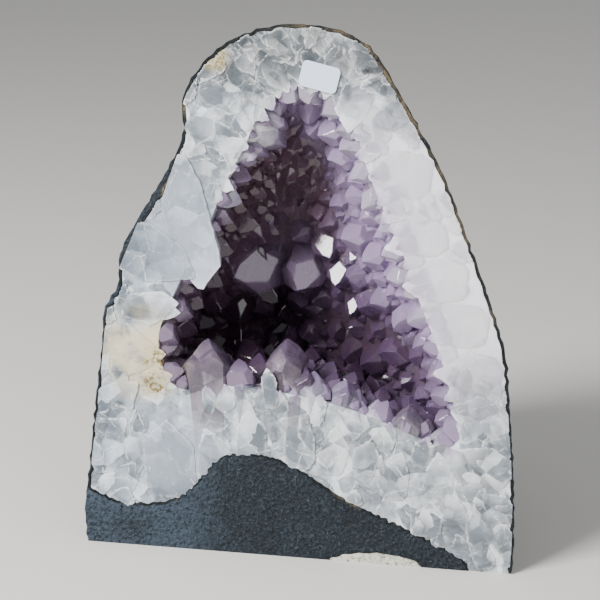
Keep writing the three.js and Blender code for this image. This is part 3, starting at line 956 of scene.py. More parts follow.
@dataclass(frozen=True)
class AmethystGlass(Finish):
    """Amethyst: clear purple quartz with glassy natural faces, paler towards its root.

    It refracts and is see-through for some millimetres, so deep crystals look dark and
    thin tips look lilac; deep ones are also darkened by painted shade, as is the left of the
    hollow, and painted light makes the upper right paler near the face.
    """

    title: str = "amethyst, natural crystal faces"
    roughness: float = 0.08
    bump: float = 0.08
    relief: float = 0.3

    def painted(self, nodes: Shading) -> tuple[Socket, Socket]:
        """The colour and the relief.

        Args:
            nodes: The node tree.

        Returns:
            Both sockets.
        """
        grown = nodes.add("Attribute", None, "Vector", attribute_name=Mark.GROWN.value[0])
        shallow_and_painted_light, along, tone = nodes.add("SeparateXYZ", {0: grown}, None)
        zones = nodes.add("TexNoise", grains(nodes.place, 9, 4))
        stops = [(0.0, "#8a7787"), (0.5, "#7d6484"), (1.0, "#69507a")]
        base = nodes.add("ValToRGB", {0: along}, stops=stops)
        base = nodes.paint(base, "#8a6f92", 0.5, (zones, 0.35, 0.7))
        base = nodes.paint(base, "#a08bb2", 0.35, (tone, 0, 1))
        base = nodes.paint(base, "#7f626b", 0.75, (nodes.z, 120, 175), (shallow_and_painted_light, 0.3, 0))
        # Painted shade: darker towards the left wall of the hollow, away from the light.
        base = nodes.paint(base, "#a8938f", 0.7, (nodes.x, -5, -40), blend="MULTIPLY")
        # Painted shade deep in the hollow, low down and far behind the face.
        deep = ((nodes.y, -50, -15), (nodes.z, 128, 100))
        base = nodes.paint(base, "#8f7f80", 0.8, *deep, blend="MULTIPLY")
        base = nodes.paint(base, "#a28dab", 0.75, (tone, 1, 1.5))
        # Paler near the face: the crystals' own paler colour, with painted light that reaches
        # deeper on the lit upper right.
        base = nodes.paint(base, "#d3bee4", 0.88, (shallow_and_painted_light, 0, 0.8))
        base = nodes.paint(base, "#e6e1ec", 0.7, (shallow_and_painted_light, 0.78, 0.96))
        return base, nodes.add("TexNoise", grains(nodes.place, 1.6))

    def light(self, nodes: Shading, height: Socket) -> dict[str, object]:
        """Clear enough to look into."""
        return {"IOR": 1.54, "Transmission Weight": 0.6}

    def inside(self, nodes: Shading) -> dict[str, Socket]:
        """Purple that deepens with thickness."""
        return {"Volume": nodes.add("VolumeAbsorption", {"Color": "#b79cc2", "Density": 45.0})}


@dataclass(frozen=True)
class Basalt(Finish):
    """Basalt: a fine-grained slate grey rock, sawn in front and weathered behind.

    The saw leaves it matt with fine grains and light specks. It is darkest where it meets
    the quartz, and a tan crust shows high up at the right. Its colour also holds painted
    shade towards the right and in the pits of its grain, and painted light on the grain's bumps.
    """

    title: str = "basalt, sawn and weathered"
    roughness: float = 0.7
    bump: float = 1
    relief: float = 2.6

    def painted(self, nodes: Shading) -> tuple[Socket, Socket]:
        """The colour and the relief.

        Args:
            nodes: The node tree.

        Returns:
            Both sockets.
        """
        contact = nodes.add("Attribute", None, "Fac", attribute_name=Mark.CONTACT.value[0])
        patches, grain, pits, skin, lumps = (
            nodes.add("TexNoise", grains(nodes.place, size, detail))
            for size, detail in ((22, 4), (0.9, 4), (1.7, 3), (17, 3), (2.6, 3))
        )
        stops = [(0.3, "#28323b"), (0.55, "#3b4855"), (0.75, "#4c5a68")]
        base = nodes.add("ValToRGB", {0: patches}, stops=stops)
        # Painted shade: darker to the right, away from the light; the weathered back is darker of
        # itself.
        right, behind = nodes.mask(1, (nodes.x, -85, -15)), nodes.mask(1, (nodes.y, -66, -52))
        painted_shade_right_and_dark_back = nodes.add("Math", {0: right, 1: behind}, operation="MAXIMUM")
        base = nodes.paint(base, "#10171d", 0.85, painted_shade_right_and_dark_back)
        # Painted shadow in the pits of the relief and painted light on its bumps, from the noise
        # that also drives the bump.
        base = nodes.paint(base, "#0a0e11", 0.75, (pits, 0.5, 0.34))
        base = nodes.paint(base, "#434e57", 0.4, (pits, 0.54, 0.68))
        base = nodes.paint(base, "#6a7985", 0.35, (grain, 0.58, 0.7))
        stops = [(0.4, "#0e1112"), (0.58, "#1b2023"), (0.66, "#5d523f"), (0.74, "#a8997a")]
        rind = nodes.add("ValToRGB", {0: skin}, stops=stops)
        base = nodes.paint(base, rind, 1, contact)
        crust = ((nodes.z, 120, 200), (nodes.x, -30, 20), (skin, 0.44, 0.6))
        base = nodes.paint(base, "#7d6c4e", 0.5, *crust)
        base = nodes.paint(base, "#4f4840", 0.35, (patches, 0.48, 0.7), (nodes.y, -60, -40))
        inputs = {0: lumps, 1: 0.5, 2: pits}
        return base, nodes.add("Math", inputs, operation="MULTIPLY_ADD", use_clamp=True)

    def light(self, nodes: Shading, height: Socket) -> dict[str, object]:
        """A matt rock, with less shine than glass."""
        return {"Specular IOR Level": 0.3}


@dataclass(frozen=True)
class PaleCrust(Finish):
    """Pale zeolite crust: rough, granular and off-white, with dark specks."""

    title: str = "pale crystalline crust, rough"
    roughness: float = 0.62
    bump: float = 0.7
    relief: float = 0.6

    def painted(self, nodes: Shading) -> tuple[Socket, Socket]:
        """The colour and the relief."""
        grain = nodes.add("TexNoise", grains(nodes.place, 1.6, 4))
        stops = [(0.36, "#6f6e66"), (0.46, "#b5b1a3"), (0.7, "#d9d6ca")]
        return nodes.add("ValToRGB", {0: grain}, stops=stops), grain


@dataclass(frozen=True)
class LabelPaper(Finish):
    """Plain sticker paper: smooth, matt and faintly bluish white."""

    title: str = "sticker paper, matt"
    roughness: float = 0.6
    bump: float = 0.1
    relief: float = 0.1

    def painted(self, nodes: Shading) -> tuple[Socket, Socket]:
        """The colour and the relief."""
        fibre = nodes.add("TexNoise", grains(nodes.place, 0.8, 2))
        return nodes.paint("#d6e4f5", "#c2d3e8", 0.4, fibre), fibre


def rounded_step(share: float, roundness: float) -> tuple[float, float]:
    """Depth and width of a rounded form at a step of its quarter turn.

    Args:
        share: The step, from 0 at the widest place to 1 at the end.
        roundness: 2 for an ellipse, and more for a squarer form.

    Returns:
        Depth and width, each from 0 to 1.
    """
    angle = share * math.pi / 2
    power = 2 / roundness
    return math.sin(angle) ** power, max(0.0, math.cos(angle)) ** power


@dataclass(frozen=True)
class ThickRind:
    """A patch of the left side where the dark rind is thicker than elsewhere."""

    height: float
    extra: float
    reach: float


@dataclass
class StoneForm:
    """The forms that the pieces share: the stone, the quartz in it, the hill and the hollow."""

    face: SawnFace
    depth: float = 140
    spine: Point = (0, 45)
    roundness: float = 2.2
    taper: float = 0.0023
    lump: float = 3.2
    evening: float = 2 / 44
    rind: float = 1.4
    thick_rinds: Sequence[ThickRind] = (
        ThickRind(172, 2.6, 15),
        ThickRind(148, 1.6, 6),
        ThickRind(122, 1.6, 5),
    )
    quartz_depth: float = 112
    quartz_centre: Point = (0, 110)
    hollow_depth: float = 84
    hollow_centre: Point = (-28, 93)
    steep: float = 3.2
    gentle: float = 1.6
    ahead: float = 10
    sleeve: float = 0.4
    gap: float = 0.3
    segments: int = 300
    chip_lean: float = math.radians(9.5)

    def edge(self) -> Array:
        """The outline of the face with the small bumps of the rock's broken skin."""
        ring = closed_curve(STONE_EDGE, self.segments)
        return offset_ring(ring, ring_noise(ring, 9, 0.35, seed=3))

    def evened(self, outline: Array, step: float) -> Array:
        """The outline further back, where its notches and bulges even out.

        Args:
            outline: The outline at the face.
            step: The way from the face, 0, to the back, 1.

        Returns:
            The outline at that step.
        """
        reach = round(self.evening * len(outline))
        share = min(1, 3 * step)
        return outline * (1 - share) + averaged_ring(outline, reach) * share

    def skin_lump(self, places: Array, step: float) -> Array:
        """How far the weathered skin stands out.

        Args:
            places: Places of the skin in the geode's frame.
            step: Their way from the face, 0, to the back, 1.

        Returns:
            Millimetres for each place.
        """
        x, y, z = (places / MM).T
        swell = np.sin(x / 19 + z / 31) + np.sin(y / 15 - z / 27 + 2)
        knob = np.sin(x / 8 + 1) * np.sin(y / 9 - 2) * np.cos(z / 10)
        return self.lump * (0.5 * swell + 0.45 * knob) * min(1, 3 * step)

    def tapered(self, ring: Array, depth: float) -> Array:
        """A ring as u, v and w at a depth where the whole stone has grown narrower."""
        across = ring[:, 0] * (1 - self.taper * depth)
        return np.column_stack([across, ring[:, 1], np.full(len(ring), depth)])

    def stone(self, rings: int = 120) -> Object:
        """The whole sawn half of the stone with its flat front.

        Args:
            rings: Rings from the middle of the face to the back.

        Returns:
            The closed body.
        """
        outline = self.edge()
        middle = np.array(self.face.point(*self.spine, 0))
        centre = np.array(self.spine)

        def ring_at(way: float) -> Array:
            """The stone's ring at a way from the middle of the face to the back."""
            if way < 0.5:
                ring = centre + (outline - centre) * way * 2
                return self.face.points(ring[:, 0], ring[:, 1], 0)
            step = way * 2 - 1
            depth, width = rounded_step(step, self.roundness)
            ring = centre + (self.evened(outline, step) - centre) * width
            places = self.face.points(*self.tapered(ring, depth * self.depth).T)
            outwards = places - middle
            outwards /= np.maximum(np.linalg.norm(outwards, axis=1), 1e-9)[:, None]
            return places + outwards * self.skin_lump(places, step)[:, None] * MM

        return wrapped_sphere("stone", self.segments, rings, ring_at)

    def rind_at(self, outline: Array) -> Array:
        """Thickness of the dark rind.

        Args:
            outline: Points of the outline.

        Returns:
            Millimetres beside each point.
        """
        total = np.full(len(outline), self.rind)
        for patch in self.thick_rinds:
            fall = ((outline[:, 1] - patch.height) / patch.reach) ** 2
            total += (outline[:, 0] < 0) * patch.extra * np.exp(-fall)
        return total

    def sunk_form(
        self, name: str, segments: int, rings: int, ring_at: Callable[[float], Array]
    ) -> Object:
        """A form that starts ahead of the face, to cut or to keep a part of another.

        Args:
            name: The form's name.
            segments: Points round it.
            rings: Rings from its front to its back.
            ring_at: Gives u, v and w of its rings from the face, 0, to its back, 1.

        Returns:
            The closed body.
        """
        mouth = ring_at(0.0)
        centre = mouth.mean(axis=0)

        def places_at(way: float) -> Array:
            """The places of the ring at a way from the front pole to the back pole."""
            if way >= 0.5:
                return self.face.points(*ring_at(way * 2 - 1).T)
            ring = centre + (mouth - centre) * min(1.0, way / self.sleeve)
            lead = max(0.0, (way - self.sleeve) / (0.5 - self.sleeve))
            return self.face.points(ring[:, 0], ring[:, 1], -self.ahead * (1 - lead))

        return wrapped_sphere(name, segments, rings, places_at)

    def hill(self, grow: float) -> Object:
        """The hill of grey rock under the quartz, running straight back from the face.

        Args:
            grow: Millimetres that it is wider all round.

        Returns:
            The closed body.
        """
        ring = closed_curve(ROCK_HILL, 420)
        bumps = ring_noise(ring, 6, 0.45, seed=11) + ring_noise(ring, 2.4, 0.2, seed=12)
        ring = offset_ring(ring, grow + bumps)
        depths = (-self.ahead, self.depth + self.ahead)
        rings = [self.face.points(ring[:, 0], ring[:, 1], depth) for depth in depths]
        return ring_stack("hill", rings)[0]

    def quartz_form(self, grow: float, rings: int = 60) -> Object:
        """The outer form of the quartz: the stone's own form inside the rind, over the hill.

        Args:
            grow: Millimetres that it is wider all round.
            rings: Rings from its front to its back.

        Returns:
            The closed body.
        """
        edge = self.edge()
        bumps = ring_noise(edge, 7, 0.25, seed=5)
        outline = offset_ring(edge, grow - self.rind_at(edge) + bumps)
        centre = np.array(self.quartz_centre)

        def ring_at(step: float) -> Array:
            """The form's ring at a step from the face to the back."""
            depth, width = rounded_step(step, self.roundness)
            ring = centre + (self.evened(outline, step) - centre) * width
            return self.tapered(ring, depth * (self.quartz_depth + 2 * grow))

        envelope = self.sunk_form("quartz form", self.segments, rings, ring_at)
        return joined(envelope, self.hill(-grow), Join.CUT)

    def steepness(self, edge: Array) -> Array:
        """How steeply the hollow's wall falls away beside points of the mouth.

        Args:
            edge: The points.

        Returns:
            The power of the wall's curve at each.
        """
        arm = edge - np.array(self.hollow_centre)
        arm /= np.linalg.norm(arm, axis=-1)[..., None]
        left_and_down = np.clip(0.5 - 0.75 * arm[..., 0] - 0.55 * arm[..., 1], 0, 1)
        return self.gentle + (self.steep - self.gentle) * left_and_down

    def wall_ring(self, edge: Array, share: float, grow: float) -> Array:
        """Places of the hollow's wall.

        Args:
            edge: Points of the mouth.
            share: The share of the hollow's depth.
            grow: Millimetres that the hollow is deeper.

        Returns:
            u, v and w below each point.
        """
        centre = np.array(self.hollow_centre)
        width = 1 - share ** self.steepness(edge)
        ring = centre + (edge - centre) * width[..., None]
        deep = np.full(edge.shape[:-1], share * (self.hollow_depth + grow))
        return np.concatenate([ring, deep[..., None]], axis=-1)

    def hollow(
        self, grow: float, segments: int = 120, rings: int = 44, shallower: float = 1
    ) -> Object:
        """The space of the hollow, open to the front.

        Args:
            grow: Millimetres that it is wider all round.
            segments: Points round it.
            rings: Rings from its front to its bottom.
            shallower: The share of its depth.

        Returns:
            The closed body.
        """
        outline = offset_ring(closed_curve(MOUTH_EDGE, segments), grow)

        def ring_at(step: float) -> Array:
            """The hollow's ring at a step from its mouth to its bottom."""
            places = self.wall_ring(outline, math.sin(step * math.pi / 2), grow)
            places[:, 2] *= shallower
            return places

        return self.sunk_form("hollow", segments, rings, ring_at)

    def in_front(self, depth: float, thick: float = 60) -> Object:
        """Everything in front of a plane some way behind the sawn face.

        Args:
            depth: Millimetres that the plane is behind the face.
            thick: Millimetres that the box reaches ahead of it.

        Returns:
            The box.
        """
        outwards = -self.face.direction(0, 0, 1)
        turn = outwards.to_track_quat("Z", "Y").to_euler()
        middle = self.face.point(0, self.hollow_centre[1], depth)
        middle += outwards.normalized() * thick / 2 * MM
        return block("in front", middle, (0.5, 0.5, thick * MM), turn)

    def base_planes(self) -> list[tuple[Vector, Vector]]:
        """Points and outward normals of the flat base and of the chip at its right corner."""
        chip = Vector((math.sin(self.chip_lean), 0, -math.cos(self.chip_lean)))
        base = Vector((0, 0, 0.2)) * MM
        return [(base, Vector((0, 0, -1))), (Vector((111.3, -55, 2)) * MM, chip)]

    def ground(self) -> Object:
        """Everything under the flat base."""
        return block("ground", Vector((0, 0, -100)) * MM, Vector((600, 600, 200)) * MM)

    def under_base(self) -> list[Object]:
        """The ground, and the chip off the right front corner of the base."""
        centre, size = Vector((113, -55, -8)) * MM, Vector((70, 60, 20)) * MM
        return [self.ground(), block("chip", centre, size, (0, -self.chip_lean, 0))]


@dataclass(frozen=True)
class CrystalForm:
    """A quartz crystal to copy: a six-sided column under a point with six faces.

    Three faces of the point are large and three are small, as on real quartz. The apex is
    at the origin, the column goes down from it, and its radius is one unit.
    """

    number: int
    taper: float
    rounding: float
    rounding_steps: int
    wobble: float = 0
    column: float = 4
    spare: float = 0.6
    sides: int = 6
    tip_angle: float = math.radians(38.2)

    def build(self) -> Object:
        """Models the crystal.

        Returns:
            The crystal, at the origin.
        """
        obj = added(
            f"crystal form {self.number}",
            bpy.ops.mesh.primitive_cylinder_add,
            vertices=self.sides,
            radius=1,
            depth=self.column + self.spare,
            location=(0, 0, (self.spare - self.column) / 2),
        )
        bpy.ops.object.transform_apply(location=True)
        places = read_points(obj)
        side = steps_round(places, self.sides)
        uneven = [1 + 0.12 * vary(self.number, Trait.COLUMN_SIDE + k) for k in range(self.sides)]
        foot = places[:, 2] < self.spare - self.column
        places[:, :2] *= (np.array(uneven)[side] * np.where(foot, self.taper, 1))[:, None]
        write_points(obj, places)
        for k in range(self.sides):
            self._cut_point(obj, k)
        if self.rounding:
            self._soften(obj)
        return obj

    def _cut_point(self, obj: Object, k: int) -> None:
        """Cuts a face of the point. They are large and small in turn.

        Args:
            obj: The crystal.
            k: The face's number.
        """
        share = chance(self.number, Trait.POINT_FACE + k)
        back = 0.02 + 0.13 * share if k % 2 else -0.09 * share
        turn = k * math.pi / 3 + math.pi / 6
        level, rise = math.cos(self.tip_angle), math.sin(self.tip_angle)
        outwards = Vector((math.cos(turn) * level, math.sin(turn) * level, rise))
        cut_away(obj, outwards * back, outwards)

    def _soften(self, obj: Object) -> None:
        """Rounds the edges a little and wobbles the faces, as growth and wear leave them.

        Args:
            obj: The crystal.
        """
        apply_modifier(
            obj,
            "BEVEL",
            width=self.rounding,
            segments=self.rounding_steps,
            limit_method="ANGLE",
            angle_limit=math.radians(15),
        )
        if self.wobble:
            with editing():
                bpy.ops.mesh.subdivide(number_cuts=1)
            everywhere = np.ones(len(obj.data.vertices))
            roughened(obj, 0.55 / MM, self.wobble / MM, everywhere, depth=1)


@dataclass(frozen=True)
class Crystal:
    """One crystal in its place: where its foot is, where it points and how large it is."""

    foot: Vector
    aim: Vector
    radius: float
    length: float
    number: int
    spin: float = 0
    shortest: float = 1.7

    def placed(self, form: Object, name: str) -> Object:
        """Sets a copy of a form in place.

        Args:
            form: The crystal form to copy.
            name: The copy's name.

        Returns:
            The copy.
        """
        obj = copy_of(form, name)
        places = read_points(obj)
        length = max(self.length, self.shortest * self.radius) / self.radius
        places[places[:, 2] < 1 - CrystalForm.column, 2] += CrystalForm.column - length
        write_points(obj, places)
        obj.data.transform(
            Matrix.Translation(self.foot + self.aim * self.length * MM)
            @ self.aim.to_track_quat("Z", "Y").to_matrix().to_4x4()
            @ Matrix.Rotation(self.spin, 4, "Z")
            @ Matrix.Scale(self.radius * MM, 4)
        )
        return obj


@dataclass(frozen=True)
class RimPlace:
    """A crystal of the rim, from its root to its tip in (u, v).

    half is half its width, and front is how far behind the face it was cut. line says how
    bright its outline is, and tint how lilac its tip is. A flat one lies wholly in the
    polished face, with others behind it.
    """

    root: Point
    tip: Point
    half: float
    front: float
    line: float = 1
    tint: float = 1
    number: int = 0
    flat: bool = False


@dataclass(frozen=True)
class RimRow:
    """A row of rim crystals, by shares of the way from the rind to the mouth."""

    root: float
    tip: float
    half: float
    pitch: float
    front: float
    tint: float


@dataclass(frozen=True)
class RimRing:
    """One ring of points of a rim crystal, measured against half its width.

    depth is how far behind the sawn front it lies, width how wide it is, pull how far its
    tip is drawn back, and shrink how much it shrinks towards the crystal's middle.
    """

    depth: float
    width: float
    pull: float
    shrink: float = 1
    bloom: float = 0.3


@dataclass(frozen=True)
class RimPoint:
    """A rim crystal whose natural point stands at the hollow, from root to tip (u, v, w)."""

    root: Triple
    tip: Triple
    radius: float
    clear: float = 0.3

    def neighbour(self, number: int) -> "RimPoint":
        """A smaller crystal that grew beside this one.

        Args:
            number: A number that chance depends on, odd on one side and even on the other.

        Returns:
            The neighbour's place.
        """
        side = 1 if number % 2 else -1
        aside = self.radius * (0.75 + 0.2 * chance(number, Trait.BESIDE_SHIFT)) * side
        root, tip = np.array(self.root), np.array(self.tip)
        way = (tip - root) / np.linalg.norm(tip - root)
        across = np.array([-way[1], way[0], 0.5 * vary(number, Trait.BESIDE_DEPTH)])
        back = self.radius * (0.5 + 0.7 * chance(number, Trait.BESIDE_BACK))
        shift = across * aside - way * back
        spread = across * aside * 0.4 * vary(number, Trait.BESIDE_SPREAD)
        radius = self.radius * (0.5 + 0.2 * chance(number, Trait.BESIDE_SIZE))
        return RimPoint(tuple(root + shift), tuple(tip + shift + spread), radius, self.clear)


@dataclass
class QuartzWall:
    """The milky quartz between shell and hollow, with the cut crystals of the rim.

    The crystals' numbers count from first_leader, 100 for each row, first_shard and
    first_point. leader_room and large_room are how much of a leader's width keeps others
    away, and a leader is large from large_half on.
    """

    form: StoneForm
    face_depth: float = 0.6
    ladder_steps: int = 200
    ladder_evening: int = 9
    first_leader: int = 900
    first_shard: int = 5000
    first_point: int = 70
    leader_room: float = 0.55
    large_room: float = 0.95
    large_half: float = 11
    plain_line: float = 0.5
    plain_clear: float = 0.35
    tilt: float = 0.04
    chamfer: float = 0.4
    margin: float = 1.5
    chips: float = 0.22
    side_room: float = 0.25
    edge_points: int = 176
    outline_points: int = 44
    shard_tries: int = 110
    # Each row of numbers gives root, tip, radius and clearness.
    points: Sequence[RimPoint] = tuple(
        RimPoint(numbers[:3], numbers[3:6], *numbers[6:])
        for numbers in (
            (-42, 44, 8, -46, 104, 9, 14, 0.9), (-25, 46, 7, -29, 90, 7, 8, 0.4),
            (-8, 50, 10, -8, 105, 13, 12, 1.1), (5, 48, 7, 6, 91, 8, 9.5, 0.5),
            (18, 46, 7, 22, 88, 8, 9, 0.55), (33, 48, 7, 37, 79, 8, 8, 0.3),
            (48, 36, 7, 53, 78, 8, 9, 0.8), (66, 40, 7, 71, 69, 8, 9, 0.6),
            (-84, 96, 9, -62, 96, 11, 8, 0.9), (-78, 112, 8, -58, 118, 9, 7, 0.7),
            (-40, 216, 6, -9, 195, 9, 8, 0.7), (-52, 176, 8, -30, 168, 11, 8, 0.3),
            (-44, 196, 9, -14, 205, 11, 9, 0.3), (-26, 236, 9, -14, 214, 12, 8, 0.3),
            (4, 240, 10, 4, 214, 13, 8, 0.3), (29, 226, 9, 20, 198, 12, 9, 0.3),
            (52, 190, 9, 30, 180, 13, 8, 0.3), (60, 166, 9, 38, 160, 13, 9, 0.3),
            (70, 140, 9, 48, 136, 13, 9, 0.3), (80, 116, 9, 57, 114, 13, 9, 0.3),
            (88, 92, 9, 66, 93, 13, 8, 0.3),
        )
    )
    rows: Sequence[RimRow] = (
        RimRow(0.0, 0.2, 5.5, 8.5, 0.08, 0),
        RimRow(0.03, 0.4, 7, 11, 0.18, 0),
        RimRow(0.2, 0.6, 7.6, 12, 0.28, 0.1),
        RimRow(0.38, 0.8, 8.2, 12.5, 0.38, 0.5),
        RimRow(0.55, 1.0, 8.6, 13, 0.48, 1),
        RimRow(0.7, 1.07, 4.6, 7.5, 0.3, 1),
    )
    # Each row of numbers gives root, tip, half, front, line and tint.
    leaders: Sequence[RimPlace] = tuple(
        RimPlace(numbers[:2], numbers[2:4], *numbers[4:])
        for numbers in (
            (-63, 190, -45, 127, 12, 0.15, 1, 0.6), (-88, 152, -53, 128, 15, 0.1, 1, 0.2),
            (-90, 117, -58, 119, 7.4, 0.15, 1, 0.3), (-99, 93, -65, 100, 15.5, 0.2, 0.6, 0),
            (-102, 63, -75, 77, 11, 0.15, 0.6, 0), (-102, 40, -72, 58, 11, 0.2, 1, 0),
            (-62, 25, -62, 64, 14, 0.1, 1, 0), (-38, 34, -41, 62, 10, 0.2, 1, 0),
            (-22, 44, -24, 72, 8, 0.2, 1, 0), (-13, 72, -15, 92, 4.4, 0.1, 1, 0.3),
            (1, 44, 2, 70, 8.4, 0.2, 1, 0), (16, 42, 19, 66, 8, 0.3, 1, 0),
            (30, 40, 35, 62, 7, 0.15, 1, 0.3), (46, 32, 49, 56, 8, 0.25, 1, 0),
            (67, 34, 69, 57, 8, 0.2, 1, 0.3), (27, 227, 19, 204, 8.6, 0.2, 1, 0.5),
            (-49, 223, -28, 212, 6.2, 0.4, 1, 0), (-55, 207, -26, 193, 7.2, 0.2, 1, 0.2),
            (-58, 193, -34, 173, 6.4, 0.6, 1, 0.3), (-40, 238, -20, 214, 6.2, 0.5, 1, 0),
            (-21, 248, -9, 220, 6.8, 0.3, 1, 0.2), (-4, 250, 2, 220, 7.4, 0.6, 1, 0.2),
            (17, 247, 10, 218, 6.8, 0.3, 1, 0.2), (60, 184, 30, 188, 12, 0.44, 0.2, 0.6),
            (68, 158, 38, 154, 9, 0.48, 0.2, 0.6), (78, 137, 47, 138, 11.4, 0.42, 0.3, 0.7),
            (88, 115, 56, 120, 11.4, 0.5, 0.2, 0.6), (95, 91, 64, 99, 10.6, 0.46, 0.2, 0.6),
            (99, 68, 73, 80, 10.4, 0.2, 0.5, 0.5), (100, 44, 77, 61, 9.6, 0.2, 1, 0.5),
        )
    )

    def ladder(self) -> tuple[Array, Array]:
        """Points round the quartz above the base, and the points of the mouth they face.

        Returns:
            The points inside the rind and over the hill, and those of the mouth.
        """
        edge = closed_curve(STONE_EDGE, self.edge_points)
        inside = offset_ring(edge, -self.form.rind_at(edge))
        hill = closed_curve(ROCK_HILL, self.edge_points)
        hill = hill[(hill[:, 1] > 0) & (hill[:, 0] > inside[0, 0])]
        sides = inside[inside[:, 1] > np.where(inside[:, 0] < 0, ROCK_HILL[1][1], 0)]
        outer = closed_curve(np.vstack([sides, hill[::-1]]), self.ladder_steps)
        mouth = closed_curve(MOUTH_EDGE, self.ladder_steps)
        distance = np.linalg.norm(outer[:, None] - mouth[None], axis=2)
        return outer, averaged_ring(mouth[distance.argmin(axis=1)], self.ladder_evening)

    def standing(self) -> list[RimPlace]:
        """The places that the rows leave free: the leaders and the clear points."""
        clear = [p for p in self.points if p.clear > self.plain_clear]
        return [*self.leaders] + [
            RimPlace(p.root[:2], p.tip[:2], p.radius * 1.5, front=0.4) for p in clear
        ]

    def line_at(self, point: Array) -> float:
        """How plain the outlines are: faint on the smooth right side, bright elsewhere."""
        across = np.clip((point[0] - 25) / 25, 0, 1)
        up = np.clip((point[1] - 60) / 40, 0, 1)
        return float(1 - 0.8 * across * up)

    def _is_near(self, point: Array, leader: RimPlace) -> bool:
        """Whether a point lies in the room that a leader takes.

        Args:
            point: The point, in (u, v).
            leader: The leader.

        Returns:
            True if it does.
        """
        root, along = np.array(leader.root), np.array(leader.tip) - np.array(leader.root)
        share = np.clip((point - root) @ along / (along @ along), 0, 1)
        gap = np.linalg.norm(point - root - along * share)
        room = self.large_room if leader.half > self.large_half else self.leader_room
        return bool(gap < leader.half * room)

    def row_places(self, row: RimRow, number: int) -> list[RimPlace]:
        """The crystals of one row, left out where a leader already stands.

        Args:
            row: The row.
            number: Its number, from 1.

        Returns:
            The crystals' places.
        """
        outer, inner = self.ladder()
        middles = outer + (inner - outer) * (row.root + row.tip) / 2
        plain = [p for p in self.leaders if p.line > self.plain_line]
        others = plain if row.tip > 1 else self.standing()
        made: list[RimPlace] = []
        since = row.pitch
        for i, middle in enumerate(middles):
            since += np.linalg.norm(middle - middles[i - 1]) if i else 0
            if since < row.pitch or outer[i, 1] < 1:
                continue
            since = 0
            if any(self._is_near(middle, other) for other in others):
                continue
            crystal = 100 * number + i
            way = inner[i] - outer[i]
            root = tuple(outer[i] + way * row.root)
            tip = tuple(outer[i] + way * (row.tip + 0.08 * vary(crystal, Trait.ROW_REACH)))
            half = row.half * (1 + 0.25 * vary(crystal, Trait.ROW_WIDTH))
            line = self.line_at(middle)
            front = max(0.06, row.front + 0.1 * vary(crystal, Trait.ROW_FRONT))
            front = front * line + 0.5 * (1 - line)
            made.append(RimPlace(root, tip, half, front, line, row.tint, crystal))
        return made

    def shards(self) -> list[RimPlace]:
        """Small crystals strewn over the rim, except on its smooth right side.

        Returns:
            The crystals' places.
        """
        outer, inner = self.ladder()
        large = [p for p in self.standing() if p.half > self.large_half]
        made: list[RimPlace] = []
        for k in range(self.shard_tries):
            at = int(chance(k, Trait.SHARD_TURN) * len(outer))
            way = inner[at] - outer[at]
            middle = outer[at] + way * (0.08 + 0.86 * chance(k, Trait.SHARD_DEPTH))
            if self.line_at(middle) < 0.6 or middle[1] < 4:
                continue
            if any(self._is_near(middle, p) for p in large):
                continue
            turn = 0.9 * vary(k, Trait.SHARD_AIM)
            side, ahead = math.sin(turn), math.cos(turn)
            aim = way / np.linalg.norm(way) @ np.array([[ahead, side], [-side, ahead]])
            half = 2 + 2.4 * chance(k, Trait.SHARD_WIDTH)
            reach = aim * half * (1.4 + 1.2 * chance(k, Trait.SHARD_LENGTH))
            front = 0.04 + 0.3 * chance(k, Trait.SHARD_FRONT)
            root, tip, number = tuple(middle - reach), tuple(middle + reach), self.first_shard + k
            made.append(RimPlace(root, tip, half, front, 1, 0.2, number, flat=True))
        return made

    def places(self) -> list[RimPlace]:
        """Every crystal of the rim: the leaders, the rows between them and the shards."""
        leaders = [replace(p, number=self.first_leader + i) for i, p in enumerate(self.leaders)]
        rows = [self.row_places(row, i) for i, row in enumerate(self.rows, start=1)]
        return leaders + [place for row in rows for place in row] + self.shards()

    def front_outline(self, place: RimPlace, count: int) -> tuple[Array, Array]:
        """The outline of a crystal where the saw cut it: a column with a blunt point.

        Args:
            place: The crystal's place.
            count: How many points the outline has.

        Returns:
            Shares of the way from root to tip, and of half the width, for each point.
        """
        length = float(np.linalg.norm(np.array(place.tip) - np.array(place.root)))
        n, corner = place.number, Trait.CORNER
        left, right = (
            max(0.42, 1 - (1.05 + 0.25 * vary(n, Trait.SHOULDER + k)) * place.half / length)
            for k in range(2)
        )
        corners = np.array(
            [
                (0.0, -0.6),
                (0.3 * left, -0.8 - 0.2 * chance(n, corner)),
                (left, -0.72 - 0.28 * chance(n, corner + 1)),
                (1.0, 0.5 * vary(n, corner + 2)),
                (right, 0.72 + 0.28 * chance(n, corner + 3)),
                (0.3 * right, 0.8 + 0.2 * chance(n, corner + 4)),
                (0.0, 0.6),
            ]
        )
        for cut in (0.05, 0.16):
            after = np.roll(corners, -1, axis=0)
            pair = np.stack([corners + (after - corners) * cut, after + (corners - after) * cut])
            corners = pair.transpose(1, 0, 2).reshape(-1, 2)
        size = np.array([length, place.half])
        ring = evenly_spaced(corners * size, count)
        chips = ring_noise(ring, 3.4, self.chips, seed=n) + ring_noise(ring, 1.7, 0.12, seed=n + 1)
        share, side = (offset_ring(ring, chips) / size).T
        return share, side

    def rim_rings(self, place: RimPlace) -> list[RimRing]:
        """The rings of a rim crystal, from its natural faces behind to its sawn front.

        Args:
            place: The crystal's place.

        Returns:
            The rings.
        """
        behind = [
            RimRing(1.45, 0.35, 1.25),
            RimRing(0.95, 0.8, 0.72),
            RimRing(0.42, 1.0, 0.26),
            RimRing(0.1, 1.02, 0.02),
        ]
        chamfer = 1 - self.chamfer / place.half
        margin = 1 - min(self.margin, 0.3 * place.half) / place.half
        return ([RimRing(0.5, 0.9, 0.2)] if place.flat else behind) + [
            RimRing(0, 1, 0, bloom=1),
            RimRing(-0.08 / place.half, chamfer, 0, chamfer, bloom=0.75),
            RimRing(-0.16 / place.half, margin, 0, margin, bloom=0),
        ]

